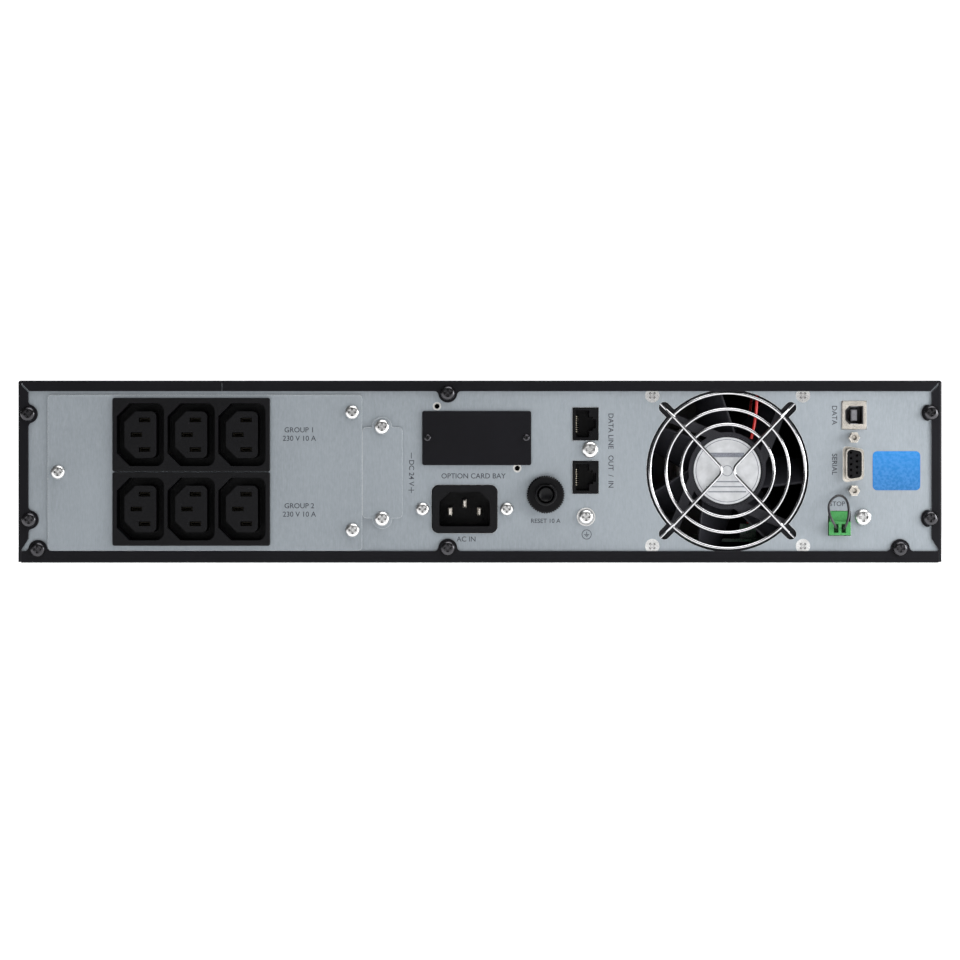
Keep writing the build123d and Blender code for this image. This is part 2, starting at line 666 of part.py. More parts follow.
# ---------------------------------------------------------------- fan
FAN = (117.5, 43.7)
FAN_SIZE = 80.0
FAN_DEPTH = 25.0
FAN_PITCH = 71.5
FAN_BORE = 76.0
FAN_OPENING = 77.2
FAN_SLOT = 5.4
FAN_SLOT_END = 42.4                 # distance of a slot's round end from the fan axis
FAN_HUB = 36.7
FAN_LABEL = 31.8
FAN_BLADES = 7
FAN_TIP_GAP = 1.2
FAN_SCREW = 3.9
FAN_FLANGE = 4.0                    # thickness of the corners at either end of the housing
FAN_WAIST = 1.5                     # how far the housing steps in between them
FAN_STRUT = 4.6
STATOR_POST = (9.0, 12.0)           # diameter and length of the bearing post
FAN_SHAFT = 3.0
FAN_SHAFT_FIT = 0.05               # radial running clearance in the fan bearing
HUB_PLATE = 3.0
GUARD_WIRE = 1.6
GUARD_RINGS = (75.4, 60.1, 45.7)   # outer diameters
GUARD_EYE = FAN_SCREW + 0.5 + 2 * GUARD_WIRE    # outer diameter of a screw eye
GUARD_VERTEX = 1.6
GUARD_BEND = 4.0
GUARD_WELD = 0.15                  # how far crossing wires sink into each other
GUARD_Y = PANEL_IN + GUARD_WIRE / 2
RING_Y = GUARD_Y - GUARD_WIRE + GUARD_WELD
RIB_Y = RING_Y - GUARD_WIRE + GUARD_WELD
FAN_LEG_FOOT = 41.0                # distances from the fan axis where a leg is bent
FAN_LEG_TOP = 36.0
KNEE_BEND = 1.6
FAN_Y = PANEL_IN + GUARD_WIRE
FAN_CORNERS = [(FAN[0] + sx * FAN_PITCH / 2, FAN[1] + sz * FAN_PITCH / 2)
               for sx in (-1, 1) for sz in (-1, 1)]


def fan_opening():
    """The panel cut-out: a circle with four diagonal slots for the guard's legs."""
    shape = Circle(FAN_OPENING / 2)
    for index in range(4):
        turn = 45 + 90 * index
        shape += Rot(0, 0, turn) * Pos(FAN_SLOT_END / 2, 0) * SlotCenterToCenter(FAN_SLOT_END, FAN_SLOT)
    return Pos(*FAN) * shape


def fan_frame():
    """The square fan housing with four slanting struts that carry the stator cup."""
    x, z = FAN
    place = Pos(x, z)
    square = rounded(FAN_SIZE, FAN_SIZE, 5.0)
    body = slab(place * (square - Circle(FAN_BORE / 2)), FAN_Y, FAN_Y + FAN_DEPTH)
    narrow = FAN_SIZE - 2 * FAN_WAIST
    waist = Rectangle(FAN_SIZE + 2, FAN_SIZE + 2) - rounded(narrow, narrow, 3.5)
    body -= slab(place * waist, FAN_Y + FAN_FLANGE, FAN_Y + FAN_DEPTH - FAN_FLANGE)
    body += slab(place * Circle(FAN_HUB / 2), FAN_Y, FAN_Y + HUB_PLATE)
    for index in range(4):
        strut = Pos(0, FAN_HUB / 2 - 4.0) * Rot(0, 0, 158) * Pos(14.0, 0) * Rectangle(34.0, FAN_STRUT)
        arm = Rot(0, 0, 90 * index) * strut
        ring_limit = Circle(FAN_BORE / 2 + 1) - Circle(FAN_HUB / 2 - 2)
        body += slab(place * (arm & ring_limit), FAN_Y, FAN_Y + HUB_PLATE)
    body -= slab(place * Circle((FAN_HUB - 3.0) / 2), FAN_Y - 1, FAN_Y + 0.8)
    body = bored(body, FAN_CORNERS, FAN_Y - 1, FAN_Y + FAN_DEPTH + 1, 4.3)
    post, post_length = STATOR_POST
    body += rod(x, z, FAN_Y + HUB_PLATE, FAN_Y + HUB_PLATE + post_length, post)
    return body - rod(x, z, FAN_Y + HUB_PLATE - 1, FAN_Y + HUB_PLATE + post_length + 1,
                      FAN_SHAFT + 2 * FAN_SHAFT_FIT)


def fan_label():
    """The round label in the stator cup."""
    x, z = FAN
    return rod(x, z, FAN_Y + 0.65, FAN_Y + 0.8, FAN_LABEL)


def fan_impeller():
    """The rotor cup with its shaft and slanted blades."""
    x, z = FAN
    cup_y = FAN_Y + HUB_PLATE + 1.0
    cup_end = FAN_Y + FAN_DEPTH - 1.0
    rotor = rod(x, z, cup_y, cup_end, FAN_HUB - 1.5)
    rotor -= rod(x, z, cup_y - 1, cup_end - 2.0, FAN_HUB - 5.0)
    rotor += rod(x, z, FAN_Y + HUB_PLATE, cup_end - 1.0, FAN_SHAFT)
    tip = FAN_BORE / 2 - FAN_TIP_GAP
    root = FAN_HUB / 2 - 1.6
    for index in range(FAN_BLADES):
        blade = Pos((tip + root) / 2, 0, 0) * Rot(32, 0, 0) * Box(tip - root + 4, 25.0, 1.4)
        blade = Rot(0, 360 / FAN_BLADES * index, 0) * blade
        rotor += Pos(x, (cup_y + cup_end) / 2, z) * blade & rod(x, z, cup_y + 1, cup_end, 2 * tip)
    return rotor


def guard_rib(side):
    """One bent wire of the guard: from a screw eye up through a slot, to the middle, and back."""
    x, z = FAN
    eye = FAN_PITCH / 2 - (GUARD_EYE - GUARD_WIRE) / 2 * math.sqrt(0.5)
    leg = FAN_LEG_FOOT * math.sqrt(0.5)
    knee = FAN_LEG_TOP * math.sqrt(0.5)
    upper = [(eye, GUARD_Y, eye), (leg, GUARD_Y, leg), (knee, RIB_Y, knee)]
    lower = [(across, y, -up) for across, y, up in reversed(upper)]
    points = [(x + side * across, y, z + up) for across, y, up in upper + [(GUARD_VERTEX, RIB_Y, 0)] + lower]
    path = FilletPolyline(*points, radius=[KNEE_BEND, KNEE_BEND, GUARD_BEND, KNEE_BEND, KNEE_BEND])
    start = Plane(origin=path @ 0, z_dir=path % 0)
    return sweep(start * Circle(GUARD_WIRE / 2), path=path)


def wire_ring(x, z, y, outer):
    """A ring of guard wire of a given outer diameter."""
    return Pos(x, y, z) * Rot(90, 0, 0) * Torus((outer - GUARD_WIRE) / 2, GUARD_WIRE / 2)


def fan_guard():
    """Three wire rings welded to two bent ribs that end in screw eyes."""
    guard = guard_rib(-1) + guard_rib(1)
    for outer in GUARD_RINGS:
        guard += wire_ring(FAN[0], FAN[1], RING_Y, outer)
    for x, z in FAN_CORNERS:
        guard += wire_ring(x, z, GUARD_Y, GUARD_EYE)
    return guard


def sink(x, z, head, shank):
    """The cone of a countersunk head that fills the thickness of the panel."""
    spread = (head - shank) / 2
    cone = rod(x, z, PANEL_OUT, PANEL_IN, head)
    return chamfer(cone.faces().sort_by(Axis.Y)[-1].edges(), PANEL_SHEET * 0.999, spread)


def fan_screws():
    """Four long countersunk screws through panel, guard eyes and fan."""
    pieces = []
    arm = PANEL_SCREW_HEAD * 0.54
    slot = PANEL_SCREW_HEAD * 0.15
    for x, z in FAN_CORNERS:
        screw = sink(x, z, PANEL_SCREW_HEAD, FAN_SCREW) + rod(x, z, PANEL_IN, PANEL_OUT + 34.0, FAN_SCREW)
        for turn in (45, 135):
            screw -= Pos(x, PANEL_OUT, z) * Rot(0, turn, 0) * Box(arm, 1.2, slot)
        pieces.append(screw)
    return pieces


def fan_nuts():
    """The nuts at the inner end of the fan screws."""
    end = FAN_Y + FAN_DEPTH
    return [slab(Pos(x, z) * RegularPolygon(3.9, 6), end, end + 3.0) - rod(x, z, end - 1, end + 4, 3.95)
            for x, z in FAN_CORNERS]


# ---------------------------------------------------------------- service port
USB = (177.5, 70.1)
USB_SHELL = (11.6, 13.3)
USB_MOUTH = (8.5, 8.8)
USB_MOUTH_DEPTH = 11.0
USB_LINER = 0.5                     # wall of the insulator inside the mouth
USB_TONGUE = (3.0, 5.4)
USB_DEPTH = 16.0
USB_PROUD = 0.8
SERVICE_BOARD_X = USB[0] + USB_SHELL[0] / 2 + 2.0


def usb_mouth(shrink):
    """The mouth of the service socket, with two cut corners on its left, shrunk by a margin."""
    width, height = USB_MOUTH
    mouth = Rectangle(width - 2 * shrink, height - 2 * shrink)
    return Pos(*USB) * chamfer(mouth.vertices().filter_by(lambda corner: corner.X < 0), 2.0)


def usb_shell():
    """The square metal shell of the service socket."""
    face_y = PANEL_OUT - USB_PROUD
    body = slab(Pos(*USB) * rounded(*USB_SHELL, 0.8), face_y, face_y + USB_DEPTH)
    body -= slab(usb_mouth(0), face_y - 1, face_y + USB_MOUTH_DEPTH)
    rim = body.edges().filter_by(lambda edge: abs(edge.center().Y - face_y) < 0.01)
    body = chamfer(rim, 0.25)
    right = USB[0] + USB_SHELL[0] / 2
    legs = block(right - 1, SERVICE_BOARD_X, PANEL_IN + 2, PANEL_IN + 12, USB[1] - 5, USB[1] + 5)
    return body + legs


def usb_tongue():
    """The insulator of the service socket: a liner in the mouth with a tongue in its middle."""
    face_y = PANEL_OUT - USB_PROUD
    back = face_y + USB_MOUTH_DEPTH
    liner = slab(usb_mouth(0), face_y + 0.5, back)
    liner -= slab(usb_mouth(USB_LINER), face_y, back - 1.0)
    tongue = slab(Pos(*USB) * Rectangle(*USB_TONGUE), face_y + 1.6, back - 1.0)
    return liner + chamfer(tongue.faces().sort_by(Axis.Y)[0].edges(), 0.4)


# ---------------------------------------------------------------- serial port
SERIAL = (177.2, 46.8)
SERIAL_SHELL = (7.8, 15.5)
SERIAL_SLOPE = math.tan(math.radians(10))
SERIAL_PROUD = 5.0
SERIAL_WALL = 0.45
SERIAL_PITCH = 2.77
SERIAL_ROW_GAP = 2.84
JACKSCREW_PITCH = 25.2
JACKSCREW_FACE = 4.7
JACKSCREW_LENGTH = 5.2


def serial_outline(grow):
    """The D-shaped outline, wide side to the left, grown evenly by a margin."""
    width, height = SERIAL_SHELL
    half_width = width / 2 + grow
    left = height / 2 + grow
    right = left - 2 * half_width * SERIAL_SLOPE
    shape = outline((-half_width, -left), (-half_width, left), (half_width, right), (half_width, -right))
    return Pos(*SERIAL) * fillet(shape.vertices(), 2.0)


def jackscrew_places():
    """The two threaded posts beside the serial port."""
    x, z = SERIAL
    return [(x, z + side * JACKSCREW_PITCH / 2) for side in (-1, 1)]


def serial_shell():
    """The metal shell of the serial port with its mounting flange behind the panel."""
    shell = slab(serial_outline(0), PANEL_OUT - SERIAL_PROUD, PANEL_IN + 1.0)
    flange = slab(Pos(*SERIAL) * rounded(12.5, 30.8, 2.0), PANEL_IN, PANEL_IN + 1.0)
    shell += flange
    shell -= slab(serial_outline(-SERIAL_WALL), PANEL_OUT - SERIAL_PROUD - 1, PANEL_IN + 2.0)
    return bored(shell, jackscrew_places(), PANEL_IN - 1, PANEL_IN + 2, M3_HOLE)


def serial_insert():
    """The black contact block of the serial port, five holes beside four."""
    insert = slab(serial_outline(-SERIAL_WALL), PANEL_OUT - SERIAL_PROUD + 0.3, PANEL_IN + 1.0)
    x, z = SERIAL
    insert += block(x - 5.5, SERVICE_BOARD_X, PANEL_IN + 1.0, PANEL_IN + 9.0, z - 9, z + 9)
    for column, count in ((-1, 5), (1, 4)):
        for index in range(count):
            hole_z = z + (index - (count - 1) / 2) * SERIAL_PITCH
            hole_x = x - 0.2 + column * SERIAL_ROW_GAP / 2
            insert -= rod(hole_x, hole_z, PANEL_OUT - SERIAL_PROUD, PANEL_OUT - SERIAL_PROUD + 5, 1.3)
    return insert


def serial_jackscrews():
    """The hexagonal threaded posts that hold the port and take the plug's screws."""
    posts = []
    for x, z in jackscrew_places():
        hexagon = RegularPolygon(JACKSCREW_FACE / 2, 6, major_radius=False)
        post = slab(Pos(x, z) * hexagon, PANEL_OUT - JACKSCREW_LENGTH, PANEL_OUT)
        post = chamfer(post.faces().sort_by(Axis.Y)[0].edges(), 0.25)
        post -= rod(x, z, PANEL_OUT - JACKSCREW_LENGTH - 1, PANEL_OUT - 0.5, 2.5)
        posts.append(post + rod(x, z, PANEL_OUT, PANEL_IN + 5, M3_SHANK))
    return posts


# ---------------------------------------------------------------- remote stop terminal
STOP = (170.5, 18.8)
STOP_PLUG = (10.2, 11.4)
STOP_CLEAR = 0.3
STOP_WALL = 1.0
STOP_POLE = 3.6
STOP_ENTRY = (2.2, 4.2)             # width and height of a wire entry
STOP_ENTRY_Z = -2.4                # wire entries below the plug's middle
STOP_PROUD = 3.2                   # lower half of the plug beyond the panel
STOP_SEAT = PANEL_IN + 7.0         # where the plug bottoms in its header
STOP_TRAVEL = 12.0
STOP_PIN = 1.0
STOP_SCREW = (181.8, 21.6)


def stop_header():
    """The open box fixed behind the panel that the terminal plug slides into."""
    x, z = STOP
    inner = (STOP_PLUG[0] + 2 * STOP_CLEAR, STOP_PLUG[1] + 2 * STOP_CLEAR)
    outer = (inner[0] + 2 * STOP_WALL, inner[1] + 2 * STOP_WALL)
    back = STOP_SEAT + STOP_CLEAR
    body = slab(Pos(x, z) * Rectangle(*outer), PANEL_IN, back + 2.0)
    body -= slab(Pos(x, z) * Rectangle(*inner), PANEL_IN - 1, back)
    for side in (-1, 1):
        body += rod(x + side * STOP_POLE / 2, z + STOP_ENTRY_Z, back - 5.0, back, STOP_PIN)
    return body


def stop_plug():
    """The two-pole terminal plug: low front half with wire entries, set-back upper half."""
    x, z = STOP
    width, height = STOP_PLUG
    x0, x1 = x - width / 2, x + width / 2
    z0, z1 = z - height / 2, z + height / 2
    front = PANEL_OUT - STOP_PROUD
    body = block(x0, x1, front, STOP_SEAT, z0, z + 0.8)
    body += block(x0 + 0.6, x1 - 0.6, PANEL_OUT + 0.2, STOP_SEAT, z + 0.8, z1)
    body = fillet(edges_at(body, Axis.X, Y=front), 0.4)
    for side in (-1, 1):
        pole_x = x + side * STOP_POLE / 2
        entry_z = z + STOP_ENTRY_Z
        entry = Pos(pole_x, entry_z) * Rectangle(*STOP_ENTRY)
        body -= slab(entry, front - 1, front + 4.0)
        body -= rod(pole_x, entry_z, STOP_SEAT - 6.0, STOP_SEAT + 1, STOP_PIN + 2 * STEM_FIT)
        body -= upright(pole_x, PANEL_OUT + 3.2, z1 - 2.5, z1 + 1, 2.6)
    return body


def stop_plug_screws():
    """The two clamp screws sunk in the upper half of the plug."""
    x, z = STOP
    top = z + STOP_PLUG[1] / 2
    screws = []
    for side in (-1, 1):
        pole_x = x + side * STOP_POLE / 2
        screw = upright(pole_x, PANEL_OUT + 3.2, top - 2.5, top - 0.8, 2.4)
        screws.append(screw - block(pole_x - 2, pole_x + 2, PANEL_OUT + 2.9, PANEL_OUT + 3.5,
                                    top - 1.4, top))
    return screws


JUMPER_WIRE = 1.2
JUMPER_START = PANEL_OUT - STOP_PROUD + 4.0     # inside the entries, where the wire is clamped


def jumper_points():
    """Route of the wire that bridges both poles of the plug."""
    x, z = STOP
    front = PANEL_OUT - STOP_PROUD
    entry_z = z + STOP_ENTRY_Z
    left = x - STOP_POLE / 2
    right = x + STOP_POLE / 2
    return [
        (left, JUMPER_START, entry_z),
        (left, front - 5.2, entry_z - 0.1),
        (left - 3.6, front - 5.8, entry_z + 5.5),
        (left - 4.2, front - 3.4, entry_z + 12.0),
        (left + 0.6, front - 3.0, entry_z + 16.4),
        (right + 1.4, front - 3.6, entry_z + 13.8),
        (right + 2.2, front - 5.4, entry_z + 6.5),
        (right, front - 5.6, entry_z - 0.2),
        (right, JUMPER_START, entry_z),
    ]


def corner_radii(points):
    """The widest arc each corner of a wire route has room for."""
    radii = []
    places = [Vector(*point) for point in points]
    for before, corner, after in zip(places, places[1:], places[2:]):
        run_in = corner - before
        run_out = after - corner
        turn = math.radians(run_in.get_angle(run_out))
        radii.append(0.45 * min(run_in.length, run_out.length) / math.tan(turn / 2))
    return radii


def wire(name, points, diameter):
    """A round wire along straight runs joined by tangent arcs."""
    radii = corner_radii(points)
    path = FilletPolyline(*points, radius=radii)
    start = Plane(origin=path @ 0, z_dir=path % 0)
    body = sweep(start * Circle(diameter / 2), path=path)
    expected = math.pi * diameter ** 2 / 4 * path.length
    print(f"{name}: length {path.length:.1f}, radii {[round(r, 1) for r in radii]},",
          f"volume ratio {body.volume / expected:.3f}")
    return body


# ---------------------------------------------------------------- rear panel
PANEL_SCREWS = [JACK_SCREW, STOP_SCREW]


def panel_screws():
    """The silver screws of the outlet plate, the jack bracket and the service board."""
    screws = [pan_screw(x, z, PLATE_OUT, PANEL_SCREW_HEAD) for x, z in PLATE_SCREWS]
    screws += [pan_screw(x, z, PLATE_OUT, 7.2) for x, z in PORT_SCREWS]
    screws += [pan_screw(x, z, PANEL_OUT, 6.4, reach=7.0) for x, z in INLET_SCREWS]
    return screws + [pan_screw(x, z, PANEL_OUT, LARGE_SCREW_HEAD) for x, z in PANEL_SCREWS]


def slot_cover_screws():
    """The two small black screws of the slot cover."""
    return [pan_screw(x, z, PANEL_OUT - SLOT_COVER_SHEET, SLOT_SCREW_HEAD, shank=1.9, reach=4.0)
            for x, z in SLOT_SCREWS]


def rear_panel():
    """The galvanised panel with every cut-out."""
    z0, z1 = SHEET + SLIP, CEILING - SLIP
    face = Pos(0, (z0 + z1) / 2) * Rectangle(2 * (PAN_HALF - 0.1), z1 - z0)
    cuts = [
        block_openings(0.1),
        Pos(*PORT_CENTRE) * Rectangle(*PORT_OPENING),
        Pos(*SLOT_CENTRE) * Rectangle(*SLOT_OPENING),
        Pos(*INLET_CENTRE) * rounded(INLET_BEZEL[0] + 0.2, INLET_BEZEL[1] + 0.2, INLET_BEZEL_RADIUS),
        Pos(*BREAKER) * Circle(BUSHING / 2 + 0.05),
        fan_opening(),
        Pos(*USB) * Rectangle(USB_SHELL[0] + 0.4, USB_SHELL[1] + 0.4),
        serial_outline(1.15),
        Pos(*STOP) * Rectangle(STOP_PLUG[0] + 2 * STOP_CLEAR, STOP_PLUG[1] + 2 * STOP_CLEAR),
    ]
    for z in JACK_Z.values():
        cuts.append(Pos(JACK_X, z) * Rectangle(JACK_SIZE[0] + 0.3, JACK_SIZE[1] + 0.3))
    for cut in cuts:
        face -= cut
    body = slab(face, PANEL_OUT, PANEL_IN)
    small = CASE_SCREW_SIDES + CASE_SCREW_BOTTOM + CASE_SCREW_TOP + PLATE_SCREWS + PORT_SCREWS
    body = bored(body, small + INLET_SCREWS + PANEL_SCREWS + jackscrew_places(),
                 PANEL_OUT - 1, PANEL_IN + 1, M3_HOLE)
    for x, z in FAN_CORNERS:
        body -= sink(x, z, PANEL_SCREW_HEAD, FAN_SCREW)
    body = bored(body, FAN_CORNERS + [GROUND], PANEL_OUT - 1, PANEL_IN + 1, GROUND_HOLE)
    body = bored(body, SLOT_SCREWS, PANEL_OUT - 1, PANEL_IN + 1, 2.0)
    return bored(body, SLOT_NUTS, PANEL_OUT - 1, PANEL_IN + 1, SLOT_NUT_RIM)


# ---------------------------------------------------------------- service board
BOARD_SHEET = 1.6
SERVICE_BOARD_DEPTH = 60.0


def service_board():
    """The upright board beside the service socket, the serial port and the stop terminal."""
    return block(SERVICE_BOARD_X, SERVICE_BOARD_X + BOARD_SHEET, PANEL_IN + 1.2,
                 PANEL_IN + SERVICE_BOARD_DEPTH, 10, 79)


def service_bracket():
    """The bent tab that the silver screw holds, screwed to the service board."""
    x, z = STOP_SCREW
    tab = block(x - 3.6, SERVICE_BOARD_X, PANEL_IN, PANEL_IN + 1.0, z - 3.8, z + 3.8)
    tab += block(SERVICE_BOARD_X - 1.0, SERVICE_BOARD_X, PANEL_IN, PANEL_IN + 14, z - 3.8, z + 3.8)
    return bored(tab, [STOP_SCREW], PANEL_IN - 1, PANEL_IN + 2, M3_HOLE)


# ---------------------------------------------------------------- fan lead
LEAD_X = FAN[0] + 14.3
LEAD_WIRE = 1.4
LEAD_Y = FAN_Y - LEAD_WIRE / 2
LEAD_TOP = FAN[1] + FAN_SIZE / 2 - 1.5
FAN_BACK = FAN_Y + FAN_DEPTH


def lead_channel():
    """The notch in the fan housing that the lead leaves through."""
    half = LEAD_WIRE / 2 + 0.5
    top = FAN[1] + FAN_SIZE / 2 + 1
    entry = block(LEAD_X - half, LEAD_X + half, FAN_Y - 1, FAN_Y + 4.0, FAN[1] + 33, top)
    return entry + block(LEAD_X - half, LEAD_X + half, FAN_Y - 1, FAN_BACK + 1, LEAD_TOP - 1.3, top)


MAIN_BOARD_Z = 9.2
MAIN_BOARD_X = (-108.0, 150.0)
MAIN_BOARD_Y = (PANEL_IN + 42.0, -12.0)
BOARD_TOP = MAIN_BOARD_Z + BOARD_SHEET
FAN_SOCKET_Y = PANEL_IN + 54.0


def fan_lead_points():
    """Route of the fan lead: over the stator cup, through the channel, down to the main board."""
    return [
        (FAN[0] + 11.4, LEAD_Y, FAN[1] + 15.2),
        (FAN[0] + 13.6, LEAD_Y, FAN[1] + 26.0),
        (LEAD_X, LEAD_Y, LEAD_TOP),
        (LEAD_X, PANEL_IN + 19.0, LEAD_TOP),
        (LEAD_X, FAN_BACK + 10.0, LEAD_TOP - 1.5),
        (LEAD_X - 0.6, FAN_SOCKET_Y - 2.0, 66.0),
        (LEAD_X - 0.8, FAN_SOCKET_Y, 42.0),
        (LEAD_X - 0.8, FAN_SOCKET_Y, BOARD_TOP + 7.0),
    ]


def fan_socket():
    """The small connector on the main board that the fan lead plugs into."""
    x = LEAD_X - 0.8
    return block(x - 4, x + 4, FAN_SOCKET_Y - 3, FAN_SOCKET_Y + 3, BOARD_TOP, BOARD_TOP + 7.0)


# ---------------------------------------------------------------- batteries
BATTERY = (94.0, 151.0, 65.0)
BATTERY_X = -167.5
BATTERY_GAP = 4.0
BATTERY_REAR_Y = PANEL_IN + 34.0
TAB_LENGTH = 6.0
DIVIDER_X = -113.0
DIVIDER_FOOT = 6.0
BATTERY_CLAMP_WIDTH = 30.0


def battery_starts():
    """Rear end of each battery along Y."""
    return [BATTERY_REAR_Y, BATTERY_REAR_Y + BATTERY[1] + BATTERY_GAP]


def batteries():
    """Two sealed 12 V batteries lying on their sides, terminals towards the divider."""
    width, length, height = BATTERY
    pieces = []
    for y0 in battery_starts():
        case = Pos(BATTERY_X, y0 + length / 2, SHEET + height / 2) * Box(width, length, height)
        case = fillet(case.edges(), 1.5)
        seam_x = BATTERY_X + width / 2 - 12
        groove = Pos(seam_x, y0 + length / 2, SHEET + height / 2) * (
            Box(0.8, length + 2, height + 2) - Box(2, length - 0.8, height - 0.8))
        pieces.append(case - groove)
    return pieces


def battery_tabs():
    """The flat terminals of both batteries."""
    tabs = []
    x0 = BATTERY_X + BATTERY[0] / 2
    for y0 in battery_starts():
        for y in (y0 + 14, y0 + BATTERY[1] - 14):
            tabs.append(block(x0, x0 + TAB_LENGTH, y - 0.4, y + 0.4, SHEET + 12, SHEET + 18.3))
    return tabs


def battery_clamp():
    """The strap across both batteries, hooked to the divider."""
    top = SHEET + BATTERY[2]
    pieces = []
    for y0 in battery_starts():
        middle = y0 + BATTERY[1] / 2
        y_low, y_high = middle - BATTERY_CLAMP_WIDTH / 2, middle + BATTERY_CLAMP_WIDTH / 2
        strap = block(BATTERY_X - 44, DIVIDER_X - SHEET / 2, y_low, y_high, top, top + SHEET)
        strap += block(DIVIDER_X - 1.5 * SHEET, DIVIDER_X - SHEET / 2, y_low, y_high, top, top + 12)
        pieces.append(strap)
    return pieces


def divider():
    """The wall between the batteries and the electronics, with a flange under the seam."""
    y0, y1 = BATTERY_REAR_Y - 4, FRONT_Y - SHEET
    top = CEILING
    wall = block(DIVIDER_X - SHEET / 2, DIVIDER_X + SHEET / 2, y0, y1, SHEET, top)
    wall += block(SEAM_X - 8, DIVIDER_X, y0, y1, top - SHEET, top)
    wall += block(DIVIDER_X, DIVIDER_X + DIVIDER_FOOT, y0, y1, SHEET, 2 * SHEET)
    for y in lead_holes():
        wall -= cross_bar(DIVIDER_X - 3, DIVIDER_X + 3, y, LEAD_HOLE_Z, 9.0)
    return wall


LEAD_HOLE_Z = SHEET + 15.2
POWER_WIRE = 3.6


def lead_holes():
    """Y places where the battery leads pass through the divider."""
    rear, front = battery_starts()
    return [rear + 14, front + BATTERY[1] - 14]


def battery_lead_points(y, board_y):
    """Route of one battery lead from its terminal boot to the board or charger."""
    x0 = BATTERY_X + BATTERY[0] / 2 + TAB_LENGTH
    along = math.copysign(1, board_y - y)
    return [
        (x0, y, LEAD_HOLE_Z),
        (DIVIDER_X + 10, y, LEAD_HOLE_Z),
        (DIVIDER_X + 16, y + 12 * along, LEAD_HOLE_Z + 12),
        (DIVIDER_X + 18, board_y - 7 * along, LEAD_HOLE_Z + 16),
        (DIVIDER_X + 18, board_y, LEAD_HOLE_Z + 8),
        (DIVIDER_X + 18, board_y, BOARD_TOP + LEAD_TERMINAL),
    ]


LEAD_TERMINAL = 4.0


def lead_terminals():
    """The terminal blocks on the boards that take the battery leads."""
    blocks = []
    for y, shift in zip(lead_holes(), LEAD_RUN):
        blocks.append(block(DIVIDER_X + 15.2, DIVIDER_X + 25, y + shift - 5, y + shift + 5, BOARD_TOP,
                            BOARD_TOP + LEAD_TERMINAL))
    return blocks


LEAD_RUN = (30.0, -30.0)           # how far each lead runs along Y to its terminal


# ---------------------------------------------------------------- power electronics
CHARGER_BOARD_X = (-98.0, 4.0)
CHARGER_BOARD_Y = (0.0, 150.0)
HEATSINK = (30.0, 90.0, 48.0)
HEATSINK_X = (-70.0, 10.0)
HEATSINK_Y = -70.0
FIN_COUNT = 7
STANDOFF = 6.0


def main_board():
    """The inverter board."""
    return block(*MAIN_BOARD_X, *MAIN_BOARD_Y, MAIN_BOARD_Z, BOARD_TOP)


def charger_board():
    """The charger and control board."""
    return block(*CHARGER_BOARD_X, *CHARGER_BOARD_Y, MAIN_BOARD_Z, BOARD_TOP)


def board_standoffs():
    """Posts under the corners of both boards."""
    posts = []
    for xs, ys in ((MAIN_BOARD_X, MAIN_BOARD_Y), (CHARGER_BOARD_X, CHARGER_BOARD_Y)):
        for x in (xs[0] + 6, xs[1] - 6):
            for y in (ys[0] + 6, ys[1] - 6):
                posts.append(upright(x, y, SHEET, MAIN_BOARD_Z, STANDOFF))
    return posts


def heatsinks():
    """Two extruded heatsinks on the inverter board, open fins upward."""
    width, length, height = HEATSINK
    pieces = []
    for x in HEATSINK_X:
        y0, y1 = HEATSINK_Y - length / 2, HEATSINK_Y + length / 2
        body = block(x - width / 2, x + width / 2, y0, y1, BOARD_TOP, BOARD_TOP + height)
        pitch = width / FIN_COUNT
        for index in range(FIN_COUNT - 1):
            gap_x = x - width / 2 + pitch * (index + 1)
            body -= block(gap_x - 1.2, gap_x + 1.2, y0 - 1, y1 + 1, BOARD_TOP + 6, BOARD_TOP + height + 1)
        pieces.append(body)
    return pieces


def power_transistors():
    """A row of transistors against the flat side of each heatsink."""
    pieces = []
    for x in HEATSINK_X:
        side = x + HEATSINK[0] / 2
        for index in range(4):
            y = HEATSINK_Y - 33 + 22 * index
            pieces.append(block(side, side + 4.6, y - 5, y + 5, BOARD_TOP, BOARD_TOP + 19))
    return pieces


def capacitors():
    """Electrolytic capacitors of the inverter and the charger."""
    places = [(-30, -36), (-30, -66), (-30, -96), (52, -36), (-60, 40), (-60, 80)]
    pieces = []
    for x, y in places:
        can = upright(x, y, BOARD_TOP, BOARD_TOP + 40, 24.0)
        pieces.append(fillet(can.faces().sort_by(Axis.Z)[-1].edges(), 1.5))
    return pieces


def relays():
    """Transfer relays near the outlets."""
    return [block(x - 14, x + 14, y - 7, y + 7, BOARD_TOP, BOARD_TOP + 26)
            for x, y in ((-66, -142), (-66, -126), (-34, -142), (-34, -126))]


TRANSFORMER_X = 78.0
TRANSFORMER_Y = 70.0
CORE = (96.0, 40.0, 80.0)
WINDING = (63.6, 72.0, 50.0)
CORE_LEG = 32.0


def transformer_core():
    """The laminated core standing on the floor, with windows for the winding."""
    width, depth, height = CORE
    body = block(TRANSFORMER_X - width / 2, TRANSFORMER_X + width / 2, TRANSFORMER_Y - depth / 2,
                 TRANSFORMER_Y + depth / 2, SHEET, SHEET + height)
    for side in (-1, 1):
        x = TRANSFORMER_X + side * 24
        body -= block(x - 8, x + 8, TRANSFORMER_Y - depth, TRANSFORMER_Y + depth,
                      SHEET + 15, SHEET + height - 15)
    return body


